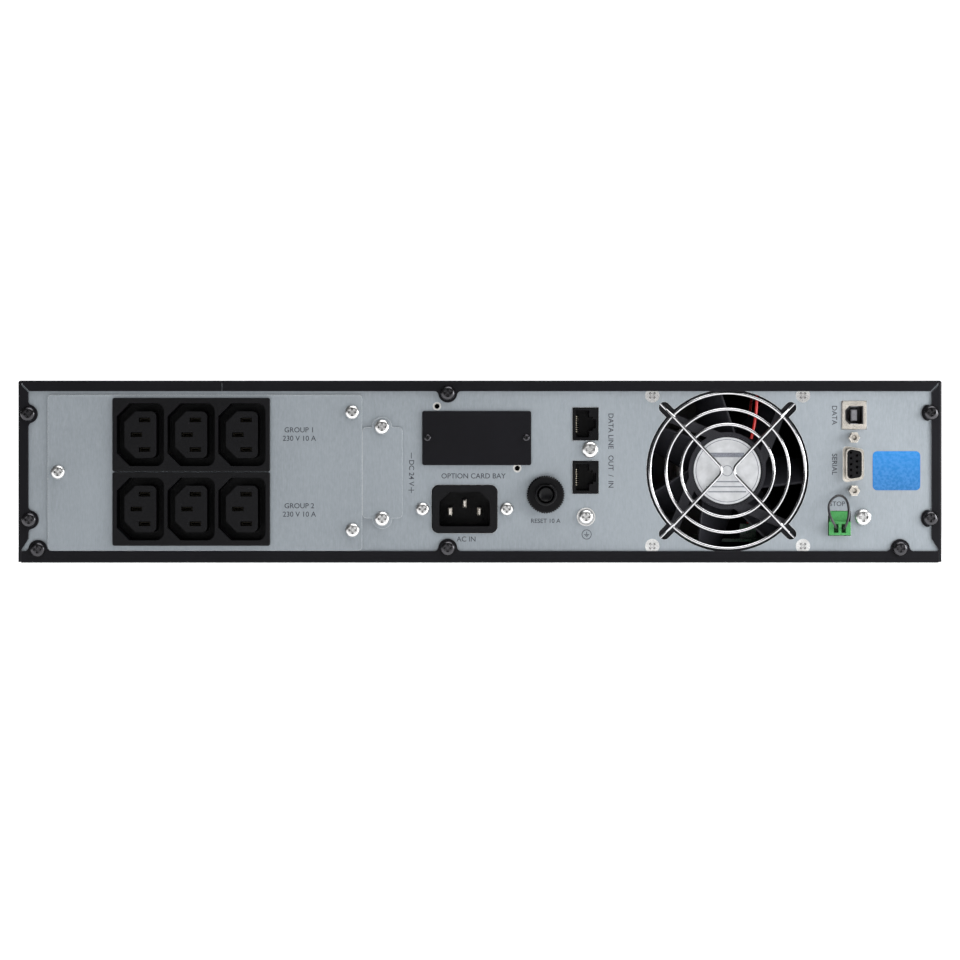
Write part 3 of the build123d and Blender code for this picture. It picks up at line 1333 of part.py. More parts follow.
def transformer_winding():
    """The wound bobbin around the middle leg of the core."""
    width, depth, height = WINDING
    middle = SHEET + CORE[2] / 2
    outer = Pos(TRANSFORMER_X, TRANSFORMER_Y, middle) * Box(width, depth, height - 0.6)
    outer = fillet(outer.edges().filter_by(Axis.Z), 6)
    leg = Pos(TRANSFORMER_X, TRANSFORMER_Y, middle) * Box(CORE_LEG + 0.4, CORE[1] + 0.4, height + 2)
    return outer - leg


# ---------------------------------------------------------------- front
BEZEL_WALL = 2.6
BEZEL_CORNER = 4.0
GRILLE_SLOTS = 9
GRILLE_PITCH = 5.4
GRILLE_LENGTH = 130.0
BUTTON_FACE = 9.0
BUTTON_CLEAR = 0.35
BUTTON_COLLAR = 12.0
BUTTON_TRAVEL = 0.8
BUTTON_SUNK = 0.6
WINDOW_SHEET = 2.0
DISPLAY_BOARD_Y = FRONT_Y + 6.0


def bezel():
    """The moulded front with an air grille, the display opening and three button holes."""
    body = block(-HALF, HALF, FRONT_Y, BEZEL_Y, 0, CASE_HEIGHT)
    body = fillet(edges_at(body, Axis.Z, Y=BEZEL_Y), BEZEL_CORNER)
    body = fillet(edges_at(body, Axis.X, Y=BEZEL_Y), 2.0)
    body -= block(-HALF + BEZEL_WALL, HALF - BEZEL_WALL, FRONT_Y - 1, BEZEL_Y - BEZEL_WALL,
                  BEZEL_WALL, CASE_HEIGHT - BEZEL_WALL)
    for index in range(GRILLE_SLOTS):
        z = CASE_HEIGHT / 2 + (index - (GRILLE_SLOTS - 1) / 2) * GRILLE_PITCH
        slot = Pos(GRILLE_X, z) * SlotOverall(GRILLE_LENGTH, 2.8)
        body -= slab(slot, BEZEL_Y - 2 * BEZEL_WALL, BEZEL_Y + 1)
    window = Pos(DISPLAY_X, DISPLAY_Z) * rounded(DISPLAY_WIDTH, DISPLAY_HEIGHT, 3.0)
    body -= slab(window, BEZEL_Y - 2 * BEZEL_WALL, BEZEL_Y + 1)
    for x in BUTTON_X:
        body -= rod(x, BUTTON_Z, BEZEL_Y - 2 * BEZEL_WALL, BEZEL_Y + 1, BUTTON_FACE + 2 * BUTTON_CLEAR)
    for x in (DISPLAY_X - 40, BUTTON_X[-1] + 11):
        for z in (DISPLAY_Z - 18, DISPLAY_Z + 18):
            body += rod(x, z, DISPLAY_BOARD_Y + BOARD_SHEET, BEZEL_Y - BEZEL_WALL, 6.0)
    return body


def display_window():
    """The clear lens set in the bezel."""
    lens = slab(Pos(DISPLAY_X, DISPLAY_Z) * rounded(DISPLAY_WIDTH, DISPLAY_HEIGHT, 3.0),
                BEZEL_Y - BEZEL_WALL, BEZEL_Y - 0.6)
    return lens


def display_module():
    """The liquid crystal module behind the lens."""
    x0, x1 = DISPLAY_X - DISPLAY_WIDTH / 2 + 1, DISPLAY_X + DISPLAY_WIDTH / 2 - 1
    z0, z1 = DISPLAY_Z - DISPLAY_HEIGHT / 2 + 1, DISPLAY_Z + DISPLAY_HEIGHT / 2 - 1
    return block(x0, x1, DISPLAY_BOARD_Y + BOARD_SHEET, BEZEL_Y - BEZEL_WALL, z0, z1)


def display_board():
    """The board that carries the display module and the button switches."""
    return block(DISPLAY_X - 44, BUTTON_X[-1] + 15, DISPLAY_BOARD_Y, DISPLAY_BOARD_Y + BOARD_SHEET,
                 DISPLAY_Z - 22, DISPLAY_Z + 22)


def button_switches():
    """The three tactile switches under the buttons."""
    y0 = DISPLAY_BOARD_Y + BOARD_SHEET
    return [block(x - 3, x + 3, y0, y0 + 4.0, BUTTON_Z - 3, BUTTON_Z + 3) for x in BUTTON_X]


def front_button(x):
    """One push button with a collar behind the bezel and a stem to its switch."""
    face_y = BEZEL_Y - BUTTON_SUNK
    collar_y = BEZEL_Y - BEZEL_WALL - BUTTON_CLEAR
    cap = rod(x, BUTTON_Z, collar_y - 1.5, face_y, BUTTON_FACE)
    cap = fillet(cap.faces().sort_by(Axis.Y)[-1].edges(), 0.8)
    cap += rod(x, BUTTON_Z, collar_y - 1.5, collar_y, BUTTON_COLLAR)
    stem_end = DISPLAY_BOARD_Y + BOARD_SHEET + 4.0 + BUTTON_TRAVEL + 0.3
    return cap + rod(x, BUTTON_Z, stem_end, collar_y - 1.5, 4.0)


# ---------------------------------------------------------------- write every node
def all_nodes():
    """Every node name with its list of solids."""
    nodes = {
        "base_pan": [base_pan()],
        "top_cover": [cover(1, SEAM_X + SEAM_GAP / 2)],
        "battery_bay_cover": [cover(-1, SEAM_X - SEAM_GAP / 2)],
        "ear_nuts": ear_nuts(),
        "case_screws": case_screws(),
        "rear_panel": [rear_panel()],
        "panel_screws": panel_screws(),
        "outlet_plate": [outlet_plate()],
        "outlet_block_upper": [outlet_block("upper")],
        "outlet_block_lower": [outlet_block("lower")],
        "outlet_contacts": outlet_contacts(),
        "battery_port_cover": [battery_port_cover()],
        "battery_port_connector": [battery_port_connector()],
        "battery_port_contacts": battery_port_contacts(),
        "slot_cover": [slot_cover()],
        "slot_cover_screws": slot_cover_screws(),
        "slot_nuts": slot_nuts(),
        "card_guides": card_guides(),
        "inlet_body": [inlet_body()],
        "inlet_pins": inlet_pins(),
        "breaker_body": [breaker_body()],
        "breaker_nut": [breaker_nut()],
        "breaker_button": [breaker_button()],
        "breaker_terminals": breaker_terminals(),
        "data_jack_upper": [data_jack("upper")],
        "data_jack_lower": [data_jack("lower")],
        "data_jack_contacts": data_jack_contacts(),
        "surge_board": [surge_board(), surge_bracket()],
        "ground_screw": [ground_screw()],
        "ground_nut": [ground_nut()],
        "fan_frame": [fan_frame() - lead_channel()],
        "fan_label": [fan_label()],
        "fan_impeller": [fan_impeller()],
        "fan_guard": [fan_guard()],
        "fan_screws": fan_screws(),
        "fan_nuts": fan_nuts(),
        "fan_lead": [wire("fan_lead", fan_lead_points(), LEAD_WIRE)],
        "usb_shell": [usb_shell()],
        "usb_tongue": [usb_tongue()],
        "serial_shell": [serial_shell()],
        "serial_insert": [serial_insert()],
        "serial_jackscrews": serial_jackscrews(),
        "service_board": [service_board(), service_bracket()],
        "stop_header": [stop_header()],
        "stop_plug": [stop_plug()],
        "stop_plug_screws": stop_plug_screws(),
        "stop_jumper": [wire("stop_jumper", jumper_points(), JUMPER_WIRE)],
        "batteries": batteries(),
        "battery_tabs": battery_tabs(),
        "battery_fittings": battery_clamp() + [divider()],
        "battery_leads": battery_leads(),
        "power_boards": [main_board(), charger_board(), fan_socket()] + lead_terminals() + board_standoffs(),
        "heatsinks": heatsinks() + power_transistors(),
        "board_parts": capacitors() + relays(),
        "transformer": [transformer_core(), transformer_winding()],
        "front_bezel": [bezel()],
        "display": [display_window(), display_module(), display_board()] + button_switches(),
    }
    for name, x in zip(("mute_button", "select_button", "power_button"), BUTTON_X):
        nodes[name] = [front_button(x)]
    return nodes


def battery_leads():
    """The leads from the outer battery terminals to the boards."""
    leads = []
    for y, shift in zip(lead_holes(), LEAD_RUN):
        leads.append(wire("battery_lead", battery_lead_points(y, y + shift), POWER_WIRE))
    return leads


for node_name, node_solids in all_nodes().items():
    save(node_name, *node_solids)
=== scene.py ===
import math

import bpy
import bmesh
from bpy.props import FloatProperty, FloatVectorProperty, IntProperty, PointerProperty
from mathutils import Matrix, Vector


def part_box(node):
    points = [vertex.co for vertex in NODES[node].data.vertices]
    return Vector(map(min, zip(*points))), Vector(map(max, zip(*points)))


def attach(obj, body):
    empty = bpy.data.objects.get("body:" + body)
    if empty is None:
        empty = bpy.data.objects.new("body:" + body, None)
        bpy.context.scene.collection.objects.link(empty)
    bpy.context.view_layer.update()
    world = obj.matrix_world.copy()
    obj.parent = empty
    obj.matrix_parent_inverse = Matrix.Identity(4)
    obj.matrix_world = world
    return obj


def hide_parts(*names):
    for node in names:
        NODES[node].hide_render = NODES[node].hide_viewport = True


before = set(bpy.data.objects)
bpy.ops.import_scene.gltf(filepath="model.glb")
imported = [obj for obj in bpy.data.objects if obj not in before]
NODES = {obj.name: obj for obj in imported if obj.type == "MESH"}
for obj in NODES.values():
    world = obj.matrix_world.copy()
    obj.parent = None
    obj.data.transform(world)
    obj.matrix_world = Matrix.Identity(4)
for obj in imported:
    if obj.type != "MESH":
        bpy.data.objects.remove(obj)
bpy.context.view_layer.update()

bl_info = {
    "name": "Rackmount Power Supply",
    "version": (1, 0, 0),
    "blender": (4, 5, 0),
    "location": "3D View > Sidebar > Power Supply",
    "description": "Finishes, printed legends, fan rotor, bridge wire and studio of a 2U power supply",
    "category": "Object",
}

MM = 0.001


# ------------------------------------------------------------------ places taken from the frame
def low(node):
    """Lowest corner of a node."""
    return Vector(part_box(node)[0])


def high(node):
    """Highest corner of a node."""
    return Vector(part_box(node)[1])


def middle(node):
    """Middle of a node's box."""
    return (low(node) + high(node)) / 2


PANEL_FACE = low("rear_panel").y
CASE_REAR = low("base_pan").y
CASE_HALF = high("top_cover").x
FAN_CENTRE = middle("fan_frame")


# ------------------------------------------------------------------ settings a user would change
class UPS_StageSettings(bpy.types.PropertyGroup):
    """Camera and studio."""
    view_width: FloatProperty(
        name="View Width", description="Width seen at the rear panel", default=0.4552,
        unit="LENGTH")
    view_height: FloatProperty(
        name="View Height", description="Height of the camera above the floor", default=0.0393,
        unit="LENGTH")
    distance: FloatProperty(
        name="Distance", description="Camera to rear panel", default=1.75, unit="LENGTH")
    floor_colour: FloatVectorProperty(
        name="Floor", description="Colour of floor and backdrop", default=(0.93, 0.93, 0.935),
        subtype="COLOR")
    key_power: FloatProperty(
        name="Key Light", description="Power of the large overhead light", default=23.0,
        unit="POWER")


class UPS_FinishSettings(bpy.types.PropertyGroup):
    """Colours of the main finishes."""
    coat: FloatVectorProperty(
        name="Powder Coat", description="Painted steel of the case", default=(0.0026, 0.0025, 0.0038),
        subtype="COLOR")
    sheet: FloatVectorProperty(
        name="Galvanised Sheet", description="Rear panel and plates", default=(0.226, 0.251, 0.272),
        subtype="COLOR")
    moulding: FloatVectorProperty(
        name="Black Moulding", description="Sockets and other mouldings",
        default=(0.0028, 0.0028, 0.0034), subtype="COLOR")
    terminal: FloatVectorProperty(
        name="Terminal Green", description="Plug-in terminal", default=(0.052, 0.222, 0.068),
        subtype="COLOR")
    sticker: FloatVectorProperty(
        name="Sticker Blue", description="Plain sticker by the ports", default=(0.010, 0.108, 0.290),
        subtype="COLOR")
    print_grey: FloatVectorProperty(
        name="Print", description="Printed legends", default=(0.012, 0.014, 0.020),
        subtype="COLOR")


class UPS_PartSettings(bpy.types.PropertyGroup):
    """Sizes of the pieces made here."""
    blades: IntProperty(name="Blades", description="Blades on the fan rotor", default=7)
    letter: FloatProperty(
        name="Letter Height", description="Capital height of the panel print", default=0.0024,
        unit="LENGTH")
    wire: FloatProperty(
        name="Bridge Wire", description="Diameter of the bridge wire", default=0.0012,
        unit="LENGTH")


# ------------------------------------------------------------------ material building blocks
def new_material(name):
    """A material with an empty node tree, its shader and its output."""
    material = bpy.data.materials.new(name)
    material.use_nodes = True
    tree = material.node_tree
    tree.nodes.clear()
    output = tree.nodes.new("ShaderNodeOutputMaterial")
    shader = tree.nodes.new("ShaderNodeBsdfPrincipled")
    tree.links.new(shader.outputs[0], output.inputs[0])
    return material, tree, shader


def object_position(tree, scale=(1, 1, 1)):
    """Object coordinates in metres, stretched per axis."""
    source = tree.nodes.new("ShaderNodeTexCoord")
    mapping = tree.nodes.new("ShaderNodeMapping")
    mapping.inputs["Scale"].default_value = scale
    tree.links.new(source.outputs["Object"], mapping.inputs["Vector"])
    return mapping.outputs["Vector"]


def noise(tree, where, scale, detail=4.0, roughness=0.5):
    """Noise values between 0 and 1."""
    node = tree.nodes.new("ShaderNodeTexNoise")
    node.inputs["Scale"].default_value = scale
    node.inputs["Detail"].default_value = detail
    node.inputs["Roughness"].default_value = roughness
    tree.links.new(where, node.inputs["Vector"])
    return node.outputs["Fac"]


def cells(tree, where, scale):
    """A different grey for each cell of a cracked pattern."""
    node = tree.nodes.new("ShaderNodeTexVoronoi")
    node.inputs["Scale"].default_value = scale
    tree.links.new(where, node.inputs["Vector"])
    split = tree.nodes.new("ShaderNodeSeparateColor")
    tree.links.new(node.outputs["Color"], split.inputs[0])
    return split.outputs[0]


def spread(tree, value, from_low, from_high, to_low, to_high):
    """One range of values mapped to another."""
    node = tree.nodes.new("ShaderNodeMapRange")
    node.inputs["From Min"].default_value = from_low
    node.inputs["From Max"].default_value = from_high
    node.inputs["To Min"].default_value = to_low
    node.inputs["To Max"].default_value = to_high
    tree.links.new(value, node.inputs["Value"])
    return node.outputs["Result"]


def arithmetic(tree, operation, first, second):
    """Two values combined; the second may be a plain number."""
    node = tree.nodes.new("ShaderNodeMath")
    node.operation = operation
    tree.links.new(first, node.inputs[0])
    if isinstance(second, (int, float)):
        node.inputs[1].default_value = second
    else:
        tree.links.new(second, node.inputs[1])
    return node.outputs[0]


def blend_colours(tree, factor, first, second):
    """A mix of two colours; each may be a colour or a socket."""
    node = tree.nodes.new("ShaderNodeMix")
    node.data_type = "RGBA"
    tree.links.new(factor, node.inputs[0])
    for socket, value in ((node.inputs[6], first), (node.inputs[7], second)):
        if isinstance(value, bpy.types.NodeSocket):
            tree.links.new(value, socket)
        else:
            socket.default_value = (*value, 1.0)
    return node.outputs[2]


def scaled(colour, factor):
    """A colour made lighter or darker."""
    return tuple(min(1.0, channel * factor) for channel in colour)


def relief(tree, shader, height, strength, distance):
    """Bump from a height value."""
    node = tree.nodes.new("ShaderNodeBump")
    node.inputs["Strength"].default_value = strength
    node.inputs["Distance"].default_value = distance
    tree.links.new(height, node.inputs["Height"])
    tree.links.new(node.outputs["Normal"], shader.inputs["Normal"])


def edge_mask(tree, radius):
    """1 on sharp outer edges, 0 elsewhere."""
    bevel = tree.nodes.new("ShaderNodeBevel")
    bevel.samples = 4
    bevel.inputs["Radius"].default_value = radius
    geometry = tree.nodes.new("ShaderNodeNewGeometry")
    dot = tree.nodes.new("ShaderNodeVectorMath")
    dot.operation = "DOT_PRODUCT"
    tree.links.new(bevel.outputs["Normal"], dot.inputs[0])
    tree.links.new(geometry.outputs["Normal"], dot.inputs[1])
    return spread(tree, dot.outputs["Value"], 0.75, 0.98, 1.0, 0.0)


def recess_shade(tree, colour, reach, depth):
    """The colour with painted shade: darker by depth in recesses narrower than the reach."""
    shade = tree.nodes.new("ShaderNodeAmbientOcclusion")
    shade.samples = 8
    shade.only_local = True
    shade.inputs["Distance"].default_value = reach
    open_share = spread(tree, shade.outputs["AO"], 0.35, 0.85, 1.0 - depth, 1.0)
    dark = blend_colours(tree, open_share, (0.0, 0.0, 0.0), (1.0, 1.0, 1.0))
    node = tree.nodes.new("ShaderNodeMix")
    node.data_type = "RGBA"
    node.blend_type = "MULTIPLY"
    node.inputs[0].default_value = 1.0
    tree.links.new(colour, node.inputs[6])
    tree.links.new(dark, node.inputs[7])
    return node.outputs[2]


# ------------------------------------------------------------------ finishes
def powder_coat(colour):
    """Fine-textured black powder coat: tiny pimples, faint dust, and a painted highlight along its
    sharp edges.
    """
    material, tree, shader = new_material("powder_coat")
    where = object_position(tree)
    pimples = noise(tree, where, 2600.0, 2.0, 0.6)
    clouds = noise(tree, where, 24.0, 3.0, 0.5)
    tone = blend_colours(tree, spread(tree, clouds, 0.3, 0.7, 0.0, 1.0), scaled(colour, 0.82),
                         scaled(colour, 1.25))
    # Painted highlight: sharp edges blended towards a paler grey, as if they caught the light.
    edge_highlight = arithmetic(tree, "MULTIPLY", edge_mask(tree, 0.0004), 0.35)
    tone = blend_colours(tree, edge_highlight, tone, (0.10, 0.10, 0.11))
    tree.links.new(tone, shader.inputs["Base Color"])
    tree.links.new(spread(tree, pimples, 0.3, 0.7, 0.36, 0.52), shader.inputs["Roughness"])
    shader.inputs["Specular IOR Level"].default_value = 0.12
    relief(tree, shader, pimples, 0.35, 0.00006)
    return material


def galvanised_sheet(colour):
    """Cold-rolled galvanised sheet: upright rolling grain, mottled spangle, faint clouds, and pale
    edges that are partly bare cut steel and partly painted highlight.
    """
    material, tree, shader = new_material("galvanised_sheet")
    grain = noise(tree, object_position(tree, (5200.0, 5200.0, 260.0)), 1.0, 3.0, 0.6)
    mottle = noise(tree, object_position(tree, (900.0, 900.0, 420.0)), 1.0, 3.0, 0.65)
    clouds = noise(tree, object_position(tree), 14.0, 2.0, 0.5)
    mixed = arithmetic(tree, "MULTIPLY_ADD", grain, 0.55)
    tree.links.new(arithmetic(tree, "MULTIPLY", mottle, 0.45), mixed.node.inputs[2])
    tone = blend_colours(tree, spread(tree, mixed, 0.32, 0.68, 0.0, 1.0), scaled(colour, 0.84),
                         scaled(colour, 1.14))
    tone = blend_colours(tree, spread(tree, clouds, 0.35, 0.65, 0.0, 0.30), tone,
                         scaled(colour, 1.3))
    # Pale edges: partly the bare cut steel, partly a painted highlight where edges catch the light.
    tone = blend_colours(tree, arithmetic(tree, "MULTIPLY", edge_mask(tree, 0.0004), 0.7), tone,
                         (0.80, 0.82, 0.83))
    tree.links.new(tone, shader.inputs["Base Color"])
    shader.inputs["Metallic"].default_value = 0.55
    tree.links.new(spread(tree, mixed, 0.3, 0.7, 0.40, 0.54), shader.inputs["Roughness"])
    relief(tree, shader, mixed, 0.12, 0.00004)
    return material


def bright_plating(name, colour, rough_low, rough_high, scratch=700.0):
    """Bright plated metal with hairline scratches, a cloudy haze and painted shade in its recesses."""
    material, tree, shader = new_material(name)
    lines = noise(tree, object_position(tree, (scratch, scratch * 0.25, scratch * 2.2)), 3.0, 3.0, 0.7)
    haze = noise(tree, object_position(tree), 260.0, 2.0, 0.5)
    tone = blend_colours(tree, spread(tree, haze, 0.35, 0.65, 0.0, 1.0), scaled(colour, 0.88),
                         scaled(colour, 1.06))
    # Painted shade: recesses such as screw crosses darkened by occlusion.
    tone = recess_shade(tree, tone, 0.0009, 0.92)
    tree.links.new(tone, shader.inputs["Base Color"])
    shader.inputs["Metallic"].default_value = 1.0
    tree.links.new(spread(tree, lines, 0.3, 0.7, rough_low, rough_high), shader.inputs["Roughness"])
    relief(tree, shader, lines, 0.03, 0.00002)
    return material


def grained_plastic(name, colour, rough=0.42, grain=1500.0, depth=0.25, lift=1.35):
    """Spark-eroded moulded plastic: fine grain, slight sheen changes, and a painted highlight along
    its edges.
    """
    material, tree, shader = new_material(name)
    where = object_position(tree)
    fine = noise(tree, where, grain, 3.0, 0.6)
    broad = noise(tree, where, 60.0, 2.0, 0.5)
    tone = blend_colours(tree, spread(tree, fine, 0.35, 0.65, 0.0, 1.0), scaled(colour, 0.8),
                         scaled(colour, lift))
    # Painted highlight: edges blended towards a much paler tone.
    tone = blend_colours(tree, arithmetic(tree, "MULTIPLY", edge_mask(tree, 0.00025), 0.25), tone,
                         scaled(colour, 3.0))
    tree.links.new(tone, shader.inputs["Base Color"])
    tree.links.new(spread(tree, broad, 0.3, 0.7, rough - 0.06, rough + 0.07),
                   shader.inputs["Roughness"])
    shader.inputs["Specular IOR Level"].default_value = 0.12
    relief(tree, shader, fine, depth, 0.00005)
    return material


def socket_insulator():
    """Black liner of the service socket with a grey tongue down its middle."""
    material, tree, shader = new_material("socket_insulator")
    fine = noise(tree, object_position(tree), 1500.0, 3.0, 0.6)
    split = tree.nodes.new("ShaderNodeSeparateXYZ")
    tree.links.new(object_position(tree), split.inputs[0])
    across = arithmetic(tree, "SUBTRACT", split.outputs["X"], middle("usb_tongue").x)
    across = arithmetic(tree, "ABSOLUTE", across, 0.0)
    tongue = spread(tree, across, 0.00155, 0.0018, 1.0, 0.0)
    grey = blend_colours(tree, spread(tree, fine, 0.35, 0.65, 0.0, 1.0), (0.085, 0.085, 0.092),
                         (0.13, 0.13, 0.14))
    tone = blend_colours(tree, tongue, (0.004, 0.004, 0.005), grey)
    tree.links.new(tone, shader.inputs["Base Color"])
    shader.inputs["Roughness"].default_value = 0.45
    relief(tree, shader, fine, 0.1, 0.00004)
    return material


def wire_insulation(name, colour):
    """Smooth insulation with a soft shine and faint smudges."""
    material, tree, shader = new_material(name)
    smudge = noise(tree, object_position(tree), 420.0, 3.0, 0.6)
    tone = blend_colours(tree, spread(tree, smudge, 0.3, 0.7, 0.0, 1.0), scaled(colour, 0.85),
                         scaled(colour, 1.15))
    tree.links.new(tone, shader.inputs["Base Color"])
    tree.links.new(spread(tree, smudge, 0.3, 0.7, 0.24, 0.40), shader.inputs["Roughness"])
    relief(tree, shader, smudge, 0.05, 0.00005)
    return material


def printed_ink(colour):
    """Screen-printed ink, slightly uneven."""
    material, tree, shader = new_material("printed_ink")
    patch = noise(tree, object_position(tree), 1800.0, 3.0, 0.6)
    tone = blend_colours(tree, spread(tree, patch, 0.35, 0.65, 0.0, 1.0), colour, scaled(colour, 2.2))
    tree.links.new(tone, shader.inputs["Base Color"])
    tree.links.new(spread(tree, patch, 0.3, 0.7, 0.45, 0.65), shader.inputs["Roughness"])
    return material


def pale_print():
    """Light grey ink on black plastic, slightly uneven."""
    material, tree, shader = new_material("pale_print")
    patch = noise(tree, object_position(tree), 1500.0, 3.0, 0.6)
    tone = blend_colours(tree, spread(tree, patch, 0.35, 0.65, 0.0, 1.0), (0.42, 0.42, 0.43),
                         (0.52, 0.52, 0.53))
    tree.links.new(tone, shader.inputs["Base Color"])
    tree.links.new(spread(tree, patch, 0.3, 0.7, 0.45, 0.6), shader.inputs["Roughness"])
    return material


def lit_segments():
    """Pale blue display segments that glow a little."""
    material, tree, shader = new_material("lit_segments")
    patch = noise(tree, object_position(tree), 700.0, 2.0, 0.5)
    tone = blend_colours(tree, spread(tree, patch, 0.35, 0.65, 0.0, 1.0), (0.30, 0.52, 0.62),
                         (0.40, 0.64, 0.74))
    tree.links.new(tone, shader.inputs["Base Color"])
    tree.links.new(tone, shader.inputs["Emission Color"])
    shader.inputs["Emission Strength"].default_value = 0.25
    tree.links.new(spread(tree, patch, 0.3, 0.7, 0.25, 0.35), shader.inputs["Roughness"])
    return material


def sticker_film(colour):
    """Glossy blue film, a little lighter towards its top."""
    material, tree, shader = new_material("sticker_film")
    film = noise(tree, object_position(tree), 900.0, 2.0, 0.5)
    split = tree.nodes.new("ShaderNodeSeparateXYZ")
    tree.links.new(object_position(tree), split.inputs[0])
    rise = spread(tree, split.outputs["Z"], 0.034, 0.053, 0.0, 1.0)
    tone = blend_colours(tree, rise, scaled(colour, 0.85), scaled(colour, 1.25))
    tone = blend_colours(tree, spread(tree, film, 0.4, 0.6, 0.0, 0.12), tone, (0.1, 0.3, 0.7))
    tree.links.new(tone, shader.inputs["Base Color"])
    tree.links.new(spread(tree, film, 0.3, 0.7, 0.16, 0.26), shader.inputs["Roughness"])
    relief(tree, shader, film, 0.05, 0.00004)
    return material


def circuit_laminate():
    """Green solder mask over a woven board with copper areas showing through."""
    material, tree, shader = new_material("circuit_laminate")
    tracks = cells(tree, object_position(tree, (1.0, 1.0, 1.0)), 160.0)
    weave = noise(tree, object_position(tree), 1400.0, 2.0, 0.5)
    tone = blend_colours(tree, spread(tree, tracks, 0.45, 0.55, 0.0, 1.0), (0.010, 0.075, 0.030),
                         (0.018, 0.130, 0.050))
    tree.links.new(tone, shader.inputs["Base Color"])
    tree.links.new(spread(tree, weave, 0.3, 0.7, 0.22, 0.36), shader.inputs["Roughness"])
    relief(tree, shader, tracks, 0.1, 0.00004)
    return material


def lamination_stack():
    """Varnished steel laminations: thin dark lines across the stack."""
    material, tree, shader = new_material("lamination_stack")
    layers = noise(tree, object_position(tree, (20.0, 2400.0, 20.0)), 1.0, 2.0, 0.5)
    rust = noise(tree, object_position(tree), 80.0, 4.0, 0.6)
    tone = blend_colours(tree, spread(tree, layers, 0.4, 0.6, 0.0, 1.0), (0.09, 0.085, 0.085),
                         (0.22, 0.21, 0.205))
    tone = blend_colours(tree, spread(tree, rust, 0.55, 0.75, 0.0, 0.4), tone, (0.16, 0.09, 0.05))
    tree.links.new(tone, shader.inputs["Base Color"])
    shader.inputs["Metallic"].default_value = 0.6
    shader.inputs["Roughness"].default_value = 0.45
    relief(tree, shader, layers, 0.3, 0.0001)
    return material


def display_lens():
    """Smoked lens with a faint haze."""
    material, tree, shader = new_material("display_lens")
    haze = noise(tree, object_position(tree), 300.0, 3.0, 0.5)
    tone = blend_colours(tree, spread(tree, haze, 0.3, 0.7, 0.0, 1.0), (0.012, 0.018, 0.022),
                         (0.020, 0.028, 0.034))
    tree.links.new(tone, shader.inputs["Base Color"])
    tree.links.new(spread(tree, haze, 0.3, 0.7, 0.10, 0.18), shader.inputs["Roughness"])
    return material


def matt_studio(colour):
    """Pale light-table floor with a barely visible tooth."""
    material, tree, shader = new_material("matt_studio")
    tooth = noise(tree, object_position(tree), 30.0, 3.0, 0.5)
    tone = blend_colours(tree, spread(tree, tooth, 0.3, 0.7, 0.0, 1.0), scaled(colour, 0.985), colour)
    tree.links.new(tone, shader.inputs["Base Color"])
    tree.links.new(tone, shader.inputs["Emission Color"])
    shader.inputs["Emission Strength"].default_value = 1.05
    shader.inputs["Roughness"].default_value = 0.5
    shader.inputs["Specular IOR Level"].default_value = 0.0
    return material


# ------------------------------------------------------------------ modelling helpers
def deselect():
    """Nothing selected, object mode."""
    if bpy.context.mode != "OBJECT":
        bpy.ops.object.mode_set(mode="OBJECT")
    bpy.ops.object.select_all(action="DESELECT")


def pick(piece):
    """Only this piece selected and active."""
    deselect()
    piece.select_set(True)
    bpy.context.view_layer.objects.active = piece


def new_piece(name, add, **options):
    """A primitive at its size and place, named."""
    deselect()
    add(**options)
    piece = bpy.context.object
    piece.name = name
    piece.data.name = name
    return piece


def edit(piece):
    """Edit mode on one piece with nothing selected in it."""
    pick(piece)
    bpy.ops.object.mode_set(mode="EDIT")
    bpy.ops.mesh.select_all(action="DESELECT")


def select_items(piece, kind, test):
    """In edit mode, select the faces or edges whose middle passes the test."""
    bpy.ops.mesh.select_mode(type=kind)
    bpy.ops.mesh.select_all(action="DESELECT")
    mesh = bmesh.from_edit_mesh(piece.data)
    items = mesh.faces if kind == "FACE" else mesh.edges
    for item in items:
        points = [point.co for point in item.verts]
        centre = sum(points, Vector()) / len(points)
        if test(centre, item):
            item.select_set(True)
    bmesh.update_edit_mesh(piece.data)


def apply_modifier(piece, kind, **values):
    """Add a modifier, set it and apply it."""
    pick(piece)
    modifier = piece.modifiers.new(kind.title(), kind)
    for key, value in values.items():
        setattr(modifier, key, value)
    bpy.ops.object.modifier_apply(modifier=modifier.name)


def settle(piece):
    """Put the place, turn and size of a piece into its mesh."""
    pick(piece)
    bpy.ops.object.transform_apply(location=True, rotation=True, scale=True)


def face_outwards(piece):
    """Merge doubles and point every face outwards."""
    edit(piece)
    bpy.ops.mesh.select_all(action="SELECT")
    bpy.ops.mesh.remove_doubles(threshold=0.000002)
    bpy.ops.mesh.normals_make_consistent(inside=False)
    bpy.ops.object.mode_set(mode="OBJECT")


def smooth(piece, degrees=35.0):
    """Smooth shading up to an angle."""
    pick(piece)
    bpy.ops.object.shade_smooth_by_angle(angle=math.radians(degrees))


def join(name, pieces):
    """Several pieces as one."""
    deselect()
    for piece in pieces:
        piece.select_set(True)
    bpy.context.view_layer.objects.active = pieces[0]
    if len(pieces) > 1:
        bpy.ops.object.join()
    piece = bpy.context.object
    piece.name = name
    return piece


def own_copy(piece, matrix):
    """A copy with its own mesh, moved by a matrix."""
    twin = piece.copy()
    twin.data = piece.data.copy()
    bpy.context.scene.collection.objects.link(twin)
    twin.data.transform(matrix)
    return twin


def wear(piece, material):
    """Give a piece one material."""
    piece.data.materials.clear()
    piece.data.materials.append(material)


def finish_nodes(material, *names):
    """Give CAD nodes one material."""
    for name in names:
        wear(NODES[name], material)


# ------------------------------------------------------------------ stage
FLOOR_SIDE = 9.0
BACKDROP_HEIGHT = 4.5
BACKDROP_CURVE = 1.8
AIR_LIGHT = 0.10
KEY_PLACE = (0.30, -0.75, 1.35)
KEY_SIZE = (1.6, 1.0)
FILL_PLACE = (0.62, -0.50, 0.13)
FILL_SIZE = (0.35, 0.25)
FILL_SHARE = 0.17


